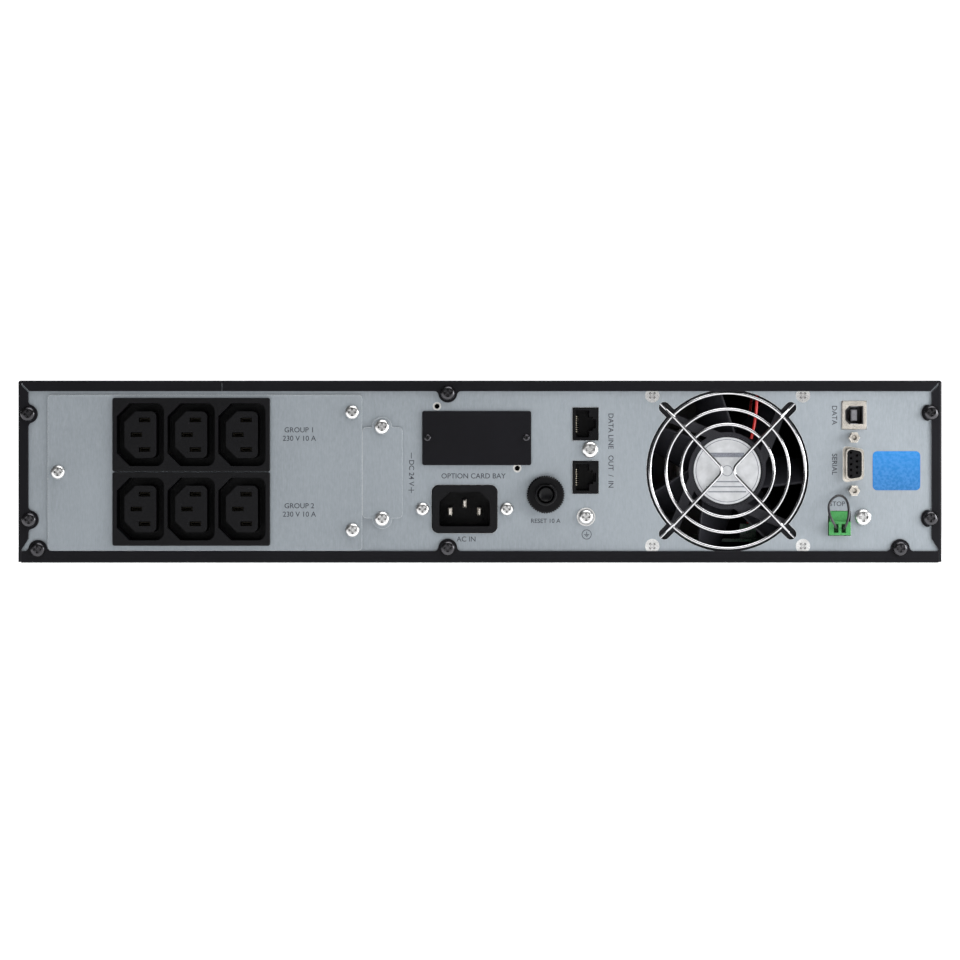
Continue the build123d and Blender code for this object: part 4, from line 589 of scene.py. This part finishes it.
def build_backdrop(settings):
    """Floor that rises behind the unit in one curve."""
    sweep = new_piece("studio_sweep", bpy.ops.mesh.primitive_plane_add, size=1.0,
                      location=(0, 0, 0))
    sweep.scale = (FLOOR_SIDE, FLOOR_SIDE, 1.0)
    settle(sweep)
    far = FLOOR_SIDE / 2 - 0.1
    edit(sweep)
    select_items(sweep, "EDGE", lambda centre, edge: centre.y > far)
    bpy.ops.mesh.extrude_region_move(TRANSFORM_OT_translate={"value": (0, 0, BACKDROP_HEIGHT)})
    select_items(sweep, "EDGE", lambda centre, edge: centre.y > far and centre.z < 0.01
                 and abs(centre.x) < 0.01)
    bpy.ops.mesh.bevel(offset=BACKDROP_CURVE, segments=24, profile=0.5)
    bpy.ops.object.mode_set(mode="OBJECT")
    smooth(sweep, 60)
    wear(sweep, matt_studio(settings.floor_colour))


def add_light(name, place, aim, size, power):
    """A soft white rectangular light aimed at a point."""
    deselect()
    bpy.ops.object.light_add(type="AREA", location=place)
    light = bpy.context.object
    light.name = name
    light.data.shape = "RECTANGLE"
    light.data.size = size[0]
    light.data.size_y = size[1]
    light.data.energy = power
    light.rotation_euler = (Vector(aim) - Vector(place)).to_track_quat("-Z", "Y").to_euler()


def studio_air():
    """Air that is white to look at and gives only a little light."""
    world = bpy.data.worlds.new("studio_air")
    world.use_nodes = True
    tree = world.node_tree
    background = tree.nodes["Background"]
    background.inputs["Color"].default_value = (1.0, 1.0, 1.0, 1.0)
    path = tree.nodes.new("ShaderNodeLightPath")
    tree.links.new(spread(tree, path.outputs["Is Camera Ray"], 0.0, 1.0, AIR_LIGHT, 1.0),
                   background.inputs["Strength"])
    return world


class UPS_OT_stage(bpy.types.Operator):
    """Camera straight on to the rear panel, glowing pale sweep and two soft lights"""
    bl_idname = "ups.stage"
    bl_label = "Stage"

    def execute(self, context):
        settings = context.scene.ups_stage
        eye = (0.0, CASE_REAR - settings.distance, settings.view_height)
        deselect()
        bpy.ops.object.camera_add(location=eye, rotation=(math.radians(90), 0, 0))
        camera = bpy.context.object
        camera.name = "rear_camera"
        camera.data.lens = camera.data.sensor_width * settings.distance / settings.view_width
        camera.data.clip_end = 30.0
        context.scene.camera = camera
        build_backdrop(settings)
        target = (0.0, CASE_REAR, 0.04)
        power = settings.key_power
        add_light("overhead_softbox", KEY_PLACE, target, KEY_SIZE, power)
        add_light("right_fill", FILL_PLACE, target, FILL_SIZE, power * FILL_SHARE)
        context.scene.world = studio_air()
        context.scene.view_settings.view_transform = "Standard"
        return {"FINISHED"}


# ------------------------------------------------------------------ bridge wire of the stop terminal
# Out of one pole, up and over in a loop, and back into the other pole.
BRIDGE_ROUTE = [
    (0.1687, -0.1985, 0.0164),
    (0.1687, -0.2077, 0.0163),
    (0.1651, -0.2083, 0.0219),
    (0.1645, -0.2059, 0.0284),
    (0.1693, -0.2055, 0.0328),
    (0.1737, -0.2061, 0.0302),
    (0.1745, -0.2079, 0.0229),
    (0.1723, -0.2081, 0.0162),
    (0.1723, -0.1985, 0.0164),
]


class UPS_OT_bridge_wire(bpy.types.Operator):
    """Stiff black wire that bridges both poles of the stop terminal"""
    bl_idname = "ups.bridge_wire"
    bl_label = "Bridge Wire"

    def execute(self, context):
        diameter = context.scene.ups_parts.wire
        curve = bpy.data.curves.new("bridge_wire", "CURVE")
        curve.dimensions = "3D"
        curve.bevel_depth = diameter / 2
        curve.bevel_resolution = 6
        curve.resolution_u = 16
        curve.use_fill_caps = True
        spline = curve.splines.new("NURBS")
        spline.points.add(len(BRIDGE_ROUTE) - 1)
        for point, place in zip(spline.points, BRIDGE_ROUTE):
            point.co = (*place, 1.0)
        spline.order_u = 3
        spline.use_endpoint_u = True
        piece = bpy.data.objects.new("bridge_wire", curve)
        context.scene.collection.objects.link(piece)
        wear(piece, wire_insulation("black_insulation", (0.012, 0.012, 0.014)))
        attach(piece, "terminal_plug")
        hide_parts("stop_jumper")
        return {"FINISHED"}


# ------------------------------------------------------------------ fan rotor
CUP_RADIUS = 17.6 * MM
CUP_SET_BACK = 1.0 * MM
CUP_RIM = 0.18
CUP_DISH = 0.8 * MM
BLADE_ROOT_DEPTH = 1.5 * MM
BLADE_CHORD = 22.5 * MM
BLADE_THICKNESS = 1.2 * MM
BLADE_PITCH = math.radians(38)
BLADE_TWIST = math.radians(-16)


def rotor_cup(centre, radius, rear_y, front_y):
    """The rotor cup: a drum with a rounded rim and a shallow ring on its face."""
    drum = new_piece("rotor_cup", bpy.ops.mesh.primitive_cylinder_add, vertices=72, radius=radius,
                     depth=front_y - rear_y, rotation=(math.pi / 2, 0, 0),
                     location=(centre.x, (front_y + rear_y) / 2, centre.z))
    settle(drum)
    edit(drum)
    select_items(drum, "FACE", lambda place, face: abs(face.normal.y) > 0.9)
    bpy.ops.mesh.inset(thickness=radius * CUP_RIM, depth=-CUP_DISH)
    bpy.ops.object.mode_set(mode="OBJECT")
    apply_modifier(drum, "BEVEL", width=0.6 * MM, segments=3, limit_method="ANGLE",
                   angle_limit=math.radians(50))
    return drum


def rotor_blade(root, tip):
    """One pitched, twisted blade that points along X, in its own axes."""
    blade = new_piece("rotor_blade", bpy.ops.mesh.primitive_grid_add, x_subdivisions=14,
                      y_subdivisions=10, size=1.0)
    blade.scale = (tip - root, BLADE_CHORD, 1.0)
    settle(blade)
    edit(blade)
    bpy.ops.mesh.select_all(action="SELECT")
    bpy.ops.transform.rotate(value=-BLADE_PITCH, orient_axis="X", center_override=(0, 0, 0))
    bpy.ops.object.mode_set(mode="OBJECT")
    apply_modifier(blade, "SIMPLE_DEFORM", deform_method="TWIST", deform_axis="X",
                   angle=BLADE_TWIST)
    apply_modifier(blade, "SOLIDIFY", thickness=BLADE_THICKNESS, offset=0.0)
    apply_modifier(blade, "BEVEL", width=0.4 * MM, segments=2, limit_method="ANGLE",
                   angle_limit=math.radians(50))
    blade.data.transform(Matrix.Translation(((tip + root) / 2, 0, 0)))
    return blade


class UPS_OT_fan_rotor(bpy.types.Operator):
    """Rotor cup with its twisted blades"""
    bl_idname = "ups.fan_rotor"
    bl_label = "Fan Rotor"

    def execute(self, context):
        rear_y, front_y = low("fan_impeller").y, high("fan_impeller").y
        tip = (high("fan_impeller").z - low("fan_impeller").z) / 2
        cup_rear = rear_y + CUP_SET_BACK
        centre = FAN_CENTRE
        pieces = [rotor_cup(centre, CUP_RADIUS, cup_rear, front_y)]
        blade = rotor_blade(CUP_RADIUS - BLADE_ROOT_DEPTH, tip)
        count = context.scene.ups_parts.blades
        place = Matrix.Translation((centre.x, (cup_rear + front_y) / 2, centre.z))
        for index in range(count):
            turn = Matrix.Rotation(math.tau * index / count, 4, "Y")
            pieces.append(own_copy(blade, place @ turn))
        bpy.data.objects.remove(blade)
        rotor = join("fan_rotor", pieces)
        face_outwards(rotor)
        smooth(rotor)
        wear(rotor, grained_plastic("rotor_plastic", (0.020, 0.020, 0.024), 0.34, 1800.0, 0.12))
        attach(rotor, "rotor")
        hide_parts("fan_impeller")
        return {"FINISHED"}


# ------------------------------------------------------------------ printed legends
INK_THICKNESS = 0.02 * MM
FONT_CAP_SHARE = 0.70
STROKE = 0.34 * MM
SIGN_LENGTH = 2.8 * MM
SIGN_SPACING = 8.2 * MM
LINE_SPACING = 4.0 * MM
PORT_PRINT_GAP = 3.6 * MM
JACK_PRINT_GAP = 5.8 * MM
POLARITY_GAP = 4.2 * MM
EARTH_RING = 2.35 * MM
EARTH_STROKE = 0.3 * MM
EARTH_ROW = 0.5 * MM


def lay_on_panel(x, z, y, turn=0.0):
    """Matrix that lays a flat drawing on a face seen from the rear."""
    return (Matrix.Translation((x, y, z)) @ Matrix.Rotation(math.radians(90), 4, "X")
            @ Matrix.Rotation(math.radians(turn), 4, "Z"))


def legend(words, x, z, y, height, turn=0.0):
    """A printed word centred on a place."""
    deselect()
    bpy.ops.object.text_add()
    text = bpy.context.object
    text.data.body = words
    text.data.align_x = "CENTER"
    text.data.align_y = "CENTER"
    text.data.size = height / FONT_CAP_SHARE
    text.data.extrude = INK_THICKNESS / 2
    text.data.offset = height * 0.012
    text.data.resolution_u = 4
    bpy.ops.object.convert(target="MESH")
    piece = bpy.context.object
    piece.data.transform(lay_on_panel(x, z, y - INK_THICKNESS / 2, turn))
    return piece


def ink_bar(x, z, y, width, height):
    """A small printed bar."""
    bar = new_piece("ink_bar", bpy.ops.mesh.primitive_plane_add, size=1.0)
    bar.scale = (width, height, 1.0)
    settle(bar)
    apply_modifier(bar, "SOLIDIFY", thickness=INK_THICKNESS, offset=0.0)
    bar.data.transform(lay_on_panel(x, z, y - INK_THICKNESS / 2))
    return bar


def ink_ring(x, z, y, outer, inner):
    """A printed ring."""
    ring = new_piece("ink_ring", bpy.ops.mesh.primitive_circle_add, vertices=48, radius=outer,
                     fill_type="NGON")
    edit(ring)
    bpy.ops.mesh.select_all(action="SELECT")
    bpy.ops.mesh.inset(thickness=outer - inner, depth=0)
    bpy.ops.mesh.delete(type="FACE")
    bpy.ops.object.mode_set(mode="OBJECT")
    apply_modifier(ring, "SOLIDIFY", thickness=INK_THICKNESS, offset=0.0)
    ring.data.transform(lay_on_panel(x, z, y - INK_THICKNESS / 2))
    return ring


def earth_mark(x, z, y):
    """The earth symbol: a stem over three shortening bars inside a ring."""
    pieces = [ink_ring(x, z, y, EARTH_RING, EARTH_RING - EARTH_STROKE),
              ink_bar(x, z + 0.7 * MM, y, 0.28 * MM, 1.3 * MM)]
    for row, width in enumerate((2.4 * MM, 1.6 * MM, 0.8 * MM)):
        pieces.append(ink_bar(x, z - row * EARTH_ROW, y, width, 0.26 * MM))
    return pieces


class UPS_OT_legends(bpy.types.Operator):
    """Generic printed marks beside the sockets and ports"""
    bl_idname = "ups.legends"
    bl_label = "Printed Legends"

    def execute(self, context):
        letter = context.scene.ups_parts.letter
        face = PANEL_FACE
        plate_face = low("outlet_plate").y
        upper, lower = middle("outlet_block_upper"), middle("outlet_block_lower")
        outlet_middle = (high("outlet_block_upper").x + high("outlet_plate").x) / 2 - 8.0 * MM
        slot, inlet = middle("slot_cover"), middle("inlet_body")
        breaker, jack_high = middle("breaker_nut"), middle("data_jack_upper")
        jack_low = middle("data_jack_lower")
        service, serial = middle("usb_shell"), middle("serial_shell")
        plug, cover = middle("stop_plug"), middle("battery_port_cover")
        jack_side = high("data_jack_upper").x + JACK_PRINT_GAP
        port_side = low("usb_shell").x - PORT_PRINT_GAP
        between = (jack_high.z + jack_low.z) / 2
        polarity_x = high("battery_port_cover").x + POLARITY_GAP
        marks = []
        for title, top in (("GROUP 1", upper.z + 2.2 * MM), ("GROUP 2", lower.z + 1.4 * MM)):
            marks.append(legend(title, outlet_middle, top, plate_face, letter))
            marks.append(legend("230 V 10 A", outlet_middle, top - LINE_SPACING, plate_face, letter))
        marks += [
            legend("DC 24 V", polarity_x, cover.z, face, letter, -90),
            ink_bar(polarity_x, cover.z + SIGN_SPACING, face, STROKE, SIGN_LENGTH),
            ink_bar(polarity_x, cover.z - SIGN_SPACING, face, STROKE, SIGN_LENGTH),
            ink_bar(polarity_x, cover.z - SIGN_SPACING, face, SIGN_LENGTH, STROKE),
            legend("OPTION CARD BAY", slot.x - 1.6 * MM, low("slot_cover").z - 5.2 * MM, face, letter),
            legend("AC IN", inlet.x + 0.8 * MM, low("inlet_body").z - 2.9 * MM, face, letter),
            legend("RESET 10 A", breaker.x, low("breaker_nut").z - 3.6 * MM, face, letter * 0.84),
            legend("DATA LINE   OUT  /  IN", jack_side, between, face, letter, -90),
            legend("DATA", port_side, service.z, face, letter, -90),
            legend("SERIAL", port_side, serial.z, face, letter, -90),
            legend("STOP", plug.x - 1.0 * MM, high("stop_plug").z + 3.4 * MM, face, letter * 0.9),
        ]
        earth_x = middle("ground_screw").x + 0.3 * MM
        marks += earth_mark(earth_x, low("ground_screw").z - 4.0 * MM, face)
        prints = join("panel_print", marks)
        face_outwards(prints)
        wear(prints, printed_ink(context.scene.ups_finish.print_grey))
        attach(prints, "root")
        return {"FINISHED"}


# ------------------------------------------------------------------ stickers
STICKER_WIDTH = 22.6 * MM
STICKER_HEIGHT = 18.6 * MM
STICKER_CORNER = 2.2 * MM
STICKER_RIM = 0.5 * MM
FILM_THICKNESS = 0.12 * MM


class UPS_OT_blue_sticker(bpy.types.Operator):
    """Plain blue sticker beside the ports"""
    bl_idname = "ups.blue_sticker"
    bl_label = "Blue Sticker"

    def execute(self, context):
        x, z = CASE_HALF - 21.4 * MM, middle("serial_shell").z - 3.1 * MM
        sticker = new_piece("blue_sticker", bpy.ops.mesh.primitive_plane_add, size=1.0)
        sticker.scale = (STICKER_WIDTH, STICKER_HEIGHT, 1.0)
        settle(sticker)
        edit(sticker)
        bpy.ops.mesh.select_all(action="SELECT")
        bpy.ops.mesh.bevel(offset=STICKER_CORNER, segments=6, affect="VERTICES")
        bpy.ops.mesh.select_all(action="SELECT")
        bpy.ops.mesh.inset(thickness=STICKER_RIM, depth=0.0)
        bpy.ops.object.mode_set(mode="OBJECT")
        apply_modifier(sticker, "SOLIDIFY", thickness=FILM_THICKNESS, offset=0.0)
        sticker.data.transform(lay_on_panel(x, z, PANEL_FACE - FILM_THICKNESS / 2))
        face_outwards(sticker)
        wear(sticker, sticker_film(context.scene.ups_finish.sticker))
        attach(sticker, "root")
        return {"FINISHED"}


class UPS_OT_fan_label_print(bpy.types.Operator):
    """Rings and plain bars printed on the fan label"""
    bl_idname = "ups.fan_label_print"
    bl_label = "Fan Label Print"

    def execute(self, context):
        face = low("fan_label").y
        x, z = FAN_CENTRE.x, FAN_CENTRE.z
        marks = []
        for radius in (15.0 * MM, 2.6 * MM):
            marks.append(ink_ring(x, z, face, radius, radius - 0.3 * MM))
        for row, width in enumerate((14 * MM, 20 * MM, 18 * MM)):
            marks.append(ink_bar(x, z - 5.2 * MM - row * 2.4 * MM, face, width, 0.6 * MM))
        marks.append(ink_bar(x, z + 7.5 * MM, face, 16 * MM, 2.2 * MM))
        label_print = join("fan_label_print", marks)
        face_outwards(label_print)
        wear(label_print, printed_ink((0.08, 0.085, 0.10)))
        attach(label_print, "root")
        return {"FINISHED"}


# ------------------------------------------------------------------ marks on the front
READING_HEIGHT = 6.4 * MM
UNIT_HEIGHT = 2.6 * MM
READING_RISE = 4.5 * MM
UNIT_RISE = 2.5 * MM
CHARGE_STEPS = 10
CHARGE_PITCH = 3.6 * MM
CHARGE_SIZE = (2.6 * MM, 5.2 * MM)
MARK_RING = 1.8 * MM
MARK_STROKE = 0.4 * MM


def front_face(node):
    """Lowest and highest corner of the part of a node that faces furthest forward."""
    front = high(node).y
    points = [point.co for point in NODES[node].data.vertices if front - point.co.y < 0.0001]
    lowest = Vector([min(point[axis] for point in points) for axis in range(3)])
    highest = Vector([max(point[axis] for point in points) for axis in range(3)])
    return lowest, highest


def face_the_front(piece):
    """Turn a print made for the rear half a turn about the upright middle axis."""
    piece.data.transform(Matrix.Rotation(math.pi, 4, "Z"))


class UPS_OT_display_print(bpy.types.Operator):
    """Segments of the display: two readings, their units and a charge bar"""
    bl_idname = "ups.display_print"
    bl_label = "Display Segments"

    def execute(self, context):
        lowest, highest = front_face("display")
        x, z = -(lowest.x + highest.x) / 2, (lowest.z + highest.z) / 2
        face = -highest.y
        width = highest.x - lowest.x
        left, right = x - width * 0.24, x + width * 0.24
        marks = [
            legend("230", left, z + READING_RISE, face, READING_HEIGHT),
            legend("50.0", right, z + READING_RISE, face, READING_HEIGHT),
            legend("V", left + 10.5 * MM, z + UNIT_RISE, face, UNIT_HEIGHT),
            legend("Hz", right + 12.5 * MM, z + UNIT_RISE, face, UNIT_HEIGHT),
            ink_bar(x, z - 2.2 * MM, face, width * 0.82, 0.3 * MM),
        ]
        charge_left = left - 8.5 * MM
        for step in range(CHARGE_STEPS):
            marks.append(ink_bar(charge_left + step * CHARGE_PITCH, z - 8.2 * MM, face, *CHARGE_SIZE))
        segments = join("display_segments", marks)
        face_outwards(segments)
        face_the_front(segments)
        wear(segments, lit_segments())
        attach(segments, "root")
        return {"FINISHED"}


def button_mark(button, key, draw):
    """A mark drawn on the face of a front button; it moves with its key."""
    centre = middle(button)
    prints = join(key + "_mark", draw(-centre.x, centre.z, -high(button).y))
    face_outwards(prints)
    face_the_front(prints)
    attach(prints, key)
    return prints


def mute_mark(x, z, face):
    """A ring with a bar across it."""
    return [ink_ring(x, z, face, MARK_RING, MARK_RING - 0.3 * MM),
            ink_bar(x, z, face, 2.4 * MM, MARK_STROKE)]


def select_mark(x, z, face):
    """Three short rows."""
    return [ink_bar(x, z + row * 1.1 * MM, face, 3.0 * MM, MARK_STROKE) for row in (-1, 0, 1)]


def power_mark(x, z, face):
    """A ring with an upright bar through its top."""
    return [ink_ring(x, z, face, MARK_RING, MARK_RING - 0.3 * MM),
            ink_bar(x, z + 1.4 * MM, face, MARK_STROKE, 1.8 * MM)]


class UPS_OT_button_print(bpy.types.Operator):
    """Simple marks on the three front buttons"""
    bl_idname = "ups.button_print"
    bl_label = "Button Marks"

    def execute(self, context):
        ink = pale_print()
        for name, draw in (("mute", mute_mark), ("select", select_mark), ("power", power_mark)):
            wear(button_mark(name + "_button", name + "_key", draw), ink)
        return {"FINISHED"}


# ------------------------------------------------------------------ finishes of the CAD nodes
class UPS_OT_case_finish(bpy.types.Operator):
    """Powder coat on the case, galvanised sheet on the panel"""
    bl_idname = "ups.case_finish"
    bl_label = "Case Finish"

    def execute(self, context):
        colours = context.scene.ups_finish
        finish_nodes(powder_coat(colours.coat), "base_pan", "top_cover", "battery_bay_cover",
                     "slot_cover")
        finish_nodes(galvanised_sheet(colours.sheet), "rear_panel", "outlet_plate",
                     "battery_port_cover", "battery_fittings")
        return {"FINISHED"}


class UPS_OT_moulding_finish(bpy.types.Operator):
    """Sockets, breaker, jacks, fan housing and bezel"""
    bl_idname = "ups.moulding_finish"
    bl_label = "Moulding Finish"

    def execute(self, context):
        colours = context.scene.ups_finish
        black = grained_plastic("socket_moulding", colours.moulding)
        finish_nodes(black, "outlet_block_upper", "outlet_block_lower", "inlet_body",
                     "battery_port_connector", "card_guides", "serial_insert")
        shiny = grained_plastic("jack_moulding", scaled(colours.moulding, 0.8), 0.3, 2200.0, 0.1)
        finish_nodes(shiny, "data_jack_upper", "data_jack_lower", "breaker_body", "breaker_nut",
                     "breaker_button")
        fan = grained_plastic("fan_housing", (0.017, 0.017, 0.020), 0.36, 1800.0, 0.15)
        finish_nodes(fan, "fan_frame")
        bezel = grained_plastic("bezel_texture", (0.022, 0.022, 0.025), 0.48, 1100.0, 0.4, 1.2)
        finish_nodes(bezel, "front_bezel", "mute_button", "select_button", "power_button")
        green = grained_plastic("terminal_plastic", colours.terminal, 0.38, 1600.0, 0.12, 1.12)
        finish_nodes(green, "stop_plug", "stop_header")
        finish_nodes(socket_insulator(), "usb_tongue")
        finish_nodes(grained_plastic("battery_plastic", (0.035, 0.035, 0.04), 0.45), "batteries")
        finish_nodes(grained_plastic("part_sleeves", (0.02, 0.035, 0.12), 0.3), "board_parts")
        return {"FINISHED"}


class UPS_OT_metal_finish(bpy.types.Operator):
    """Screws, shells, contacts and wire guard"""
    bl_idname = "ups.metal_finish"
    bl_label = "Metal Finish"

    def execute(self, context):
        finish_nodes(bright_plating("bright_screw", (0.62, 0.62, 0.615), 0.24, 0.34), "panel_screws",
                     "ground_screw", "fan_screws")
        finish_nodes(bright_plating("black_zinc", (0.055, 0.054, 0.058), 0.20, 0.30), "case_screws",
                     "slot_cover_screws")
        finish_nodes(bright_plating("chromed_wire", (0.48, 0.48, 0.49), 0.10, 0.18, 400.0),
                     "fan_guard")
        finish_nodes(bright_plating("nickel_shell", (0.62, 0.585, 0.53), 0.22, 0.36), "usb_shell",
                     "serial_shell", "serial_jackscrews", "inlet_pins")
        finish_nodes(bright_plating("zinc_nut", (0.60, 0.59, 0.56), 0.25, 0.40), "ear_nuts",
                     "ground_nut", "fan_nuts", "slot_nuts")
        finish_nodes(bright_plating("gold_wire", (0.86, 0.78, 0.62), 0.22, 0.34),
                     "data_jack_contacts")
        finish_nodes(bright_plating("brass_leaf", (0.62, 0.46, 0.20), 0.28, 0.42),
                     "breaker_terminals", "battery_tabs", "battery_port_contacts")
        # Outlet contacts darkened almost to black: painted shade deep inside the socket slots.
        finish_nodes(bright_plating("brass_in_painted_shade", (0.020, 0.018, 0.014), 0.45, 0.6),
                     "outlet_contacts")
        finish_nodes(bright_plating("fan_foil", (0.56, 0.57, 0.585), 0.34, 0.48, 300.0), "fan_label")
        finish_nodes(bright_plating("clamp_screw", (0.5, 0.5, 0.5), 0.25, 0.4), "stop_plug_screws")
        finish_nodes(bright_plating("extruded_aluminium", (0.62, 0.63, 0.64), 0.35, 0.5, 300.0),
                     "heatsinks")
        return {"FINISHED"}


class UPS_OT_inner_finish(bpy.types.Operator):
    """Boards, transformer, leads and display"""
    bl_idname = "ups.inner_finish"
    bl_label = "Inner Finish"

    def execute(self, context):
        finish_nodes(circuit_laminate(), "power_boards", "surge_board", "service_board")
        finish_nodes(lamination_stack(), "transformer")
        finish_nodes(wire_insulation("red_insulation", (0.34, 0.012, 0.010)), "fan_lead")
        finish_nodes(wire_insulation("lead_black", (0.014, 0.014, 0.016)), "battery_leads",
                     "stop_jumper")
        finish_nodes(display_lens(), "display")
        finish_nodes(grained_plastic("hidden_rotor", (0.02, 0.02, 0.022)), "fan_impeller")
        return {"FINISHED"}


# ------------------------------------------------------------------ panel and registration
STEPS = (UPS_OT_stage, UPS_OT_bridge_wire, UPS_OT_case_finish, UPS_OT_moulding_finish,
         UPS_OT_metal_finish, UPS_OT_inner_finish, UPS_OT_fan_rotor, UPS_OT_legends,
         UPS_OT_blue_sticker, UPS_OT_fan_label_print, UPS_OT_display_print, UPS_OT_button_print)


class UPS_PT_sidebar(bpy.types.Panel):
    """Lists the steps and their settings"""
    bl_idname = "UPS_PT_sidebar"
    bl_label = "Power Supply"
    bl_space_type = "VIEW_3D"
    bl_region_type = "UI"
    bl_category = "Power Supply"

    def draw(self, context):
        for group in (context.scene.ups_stage, context.scene.ups_finish, context.scene.ups_parts):
            for key in group.bl_rna.properties.keys():
                if key not in {"rna_type", "name"}:
                    self.layout.prop(group, key)
        for step in STEPS:
            self.layout.operator(step.bl_idname)


CLASSES = (UPS_StageSettings, UPS_FinishSettings, UPS_PartSettings, *STEPS, UPS_PT_sidebar)


def register():
    """Register every class and the settings."""
    for item in CLASSES:
        bpy.utils.register_class(item)
    bpy.types.Scene.ups_stage = PointerProperty(type=UPS_StageSettings)
    bpy.types.Scene.ups_finish = PointerProperty(type=UPS_FinishSettings)
    bpy.types.Scene.ups_parts = PointerProperty(type=UPS_PartSettings)


def unregister():
    """Remove the settings and every class."""
    del bpy.types.Scene.ups_parts
    del bpy.types.Scene.ups_finish
    del bpy.types.Scene.ups_stage
    for item in reversed(CLASSES):
        bpy.utils.unregister_class(item)


def main():
    """Register and run every step in order."""
    register()
    for step in STEPS:
        group, name = step.bl_idname.split(".")
        getattr(getattr(bpy.ops, group), name)()


if __name__ == "__main__":
    main()
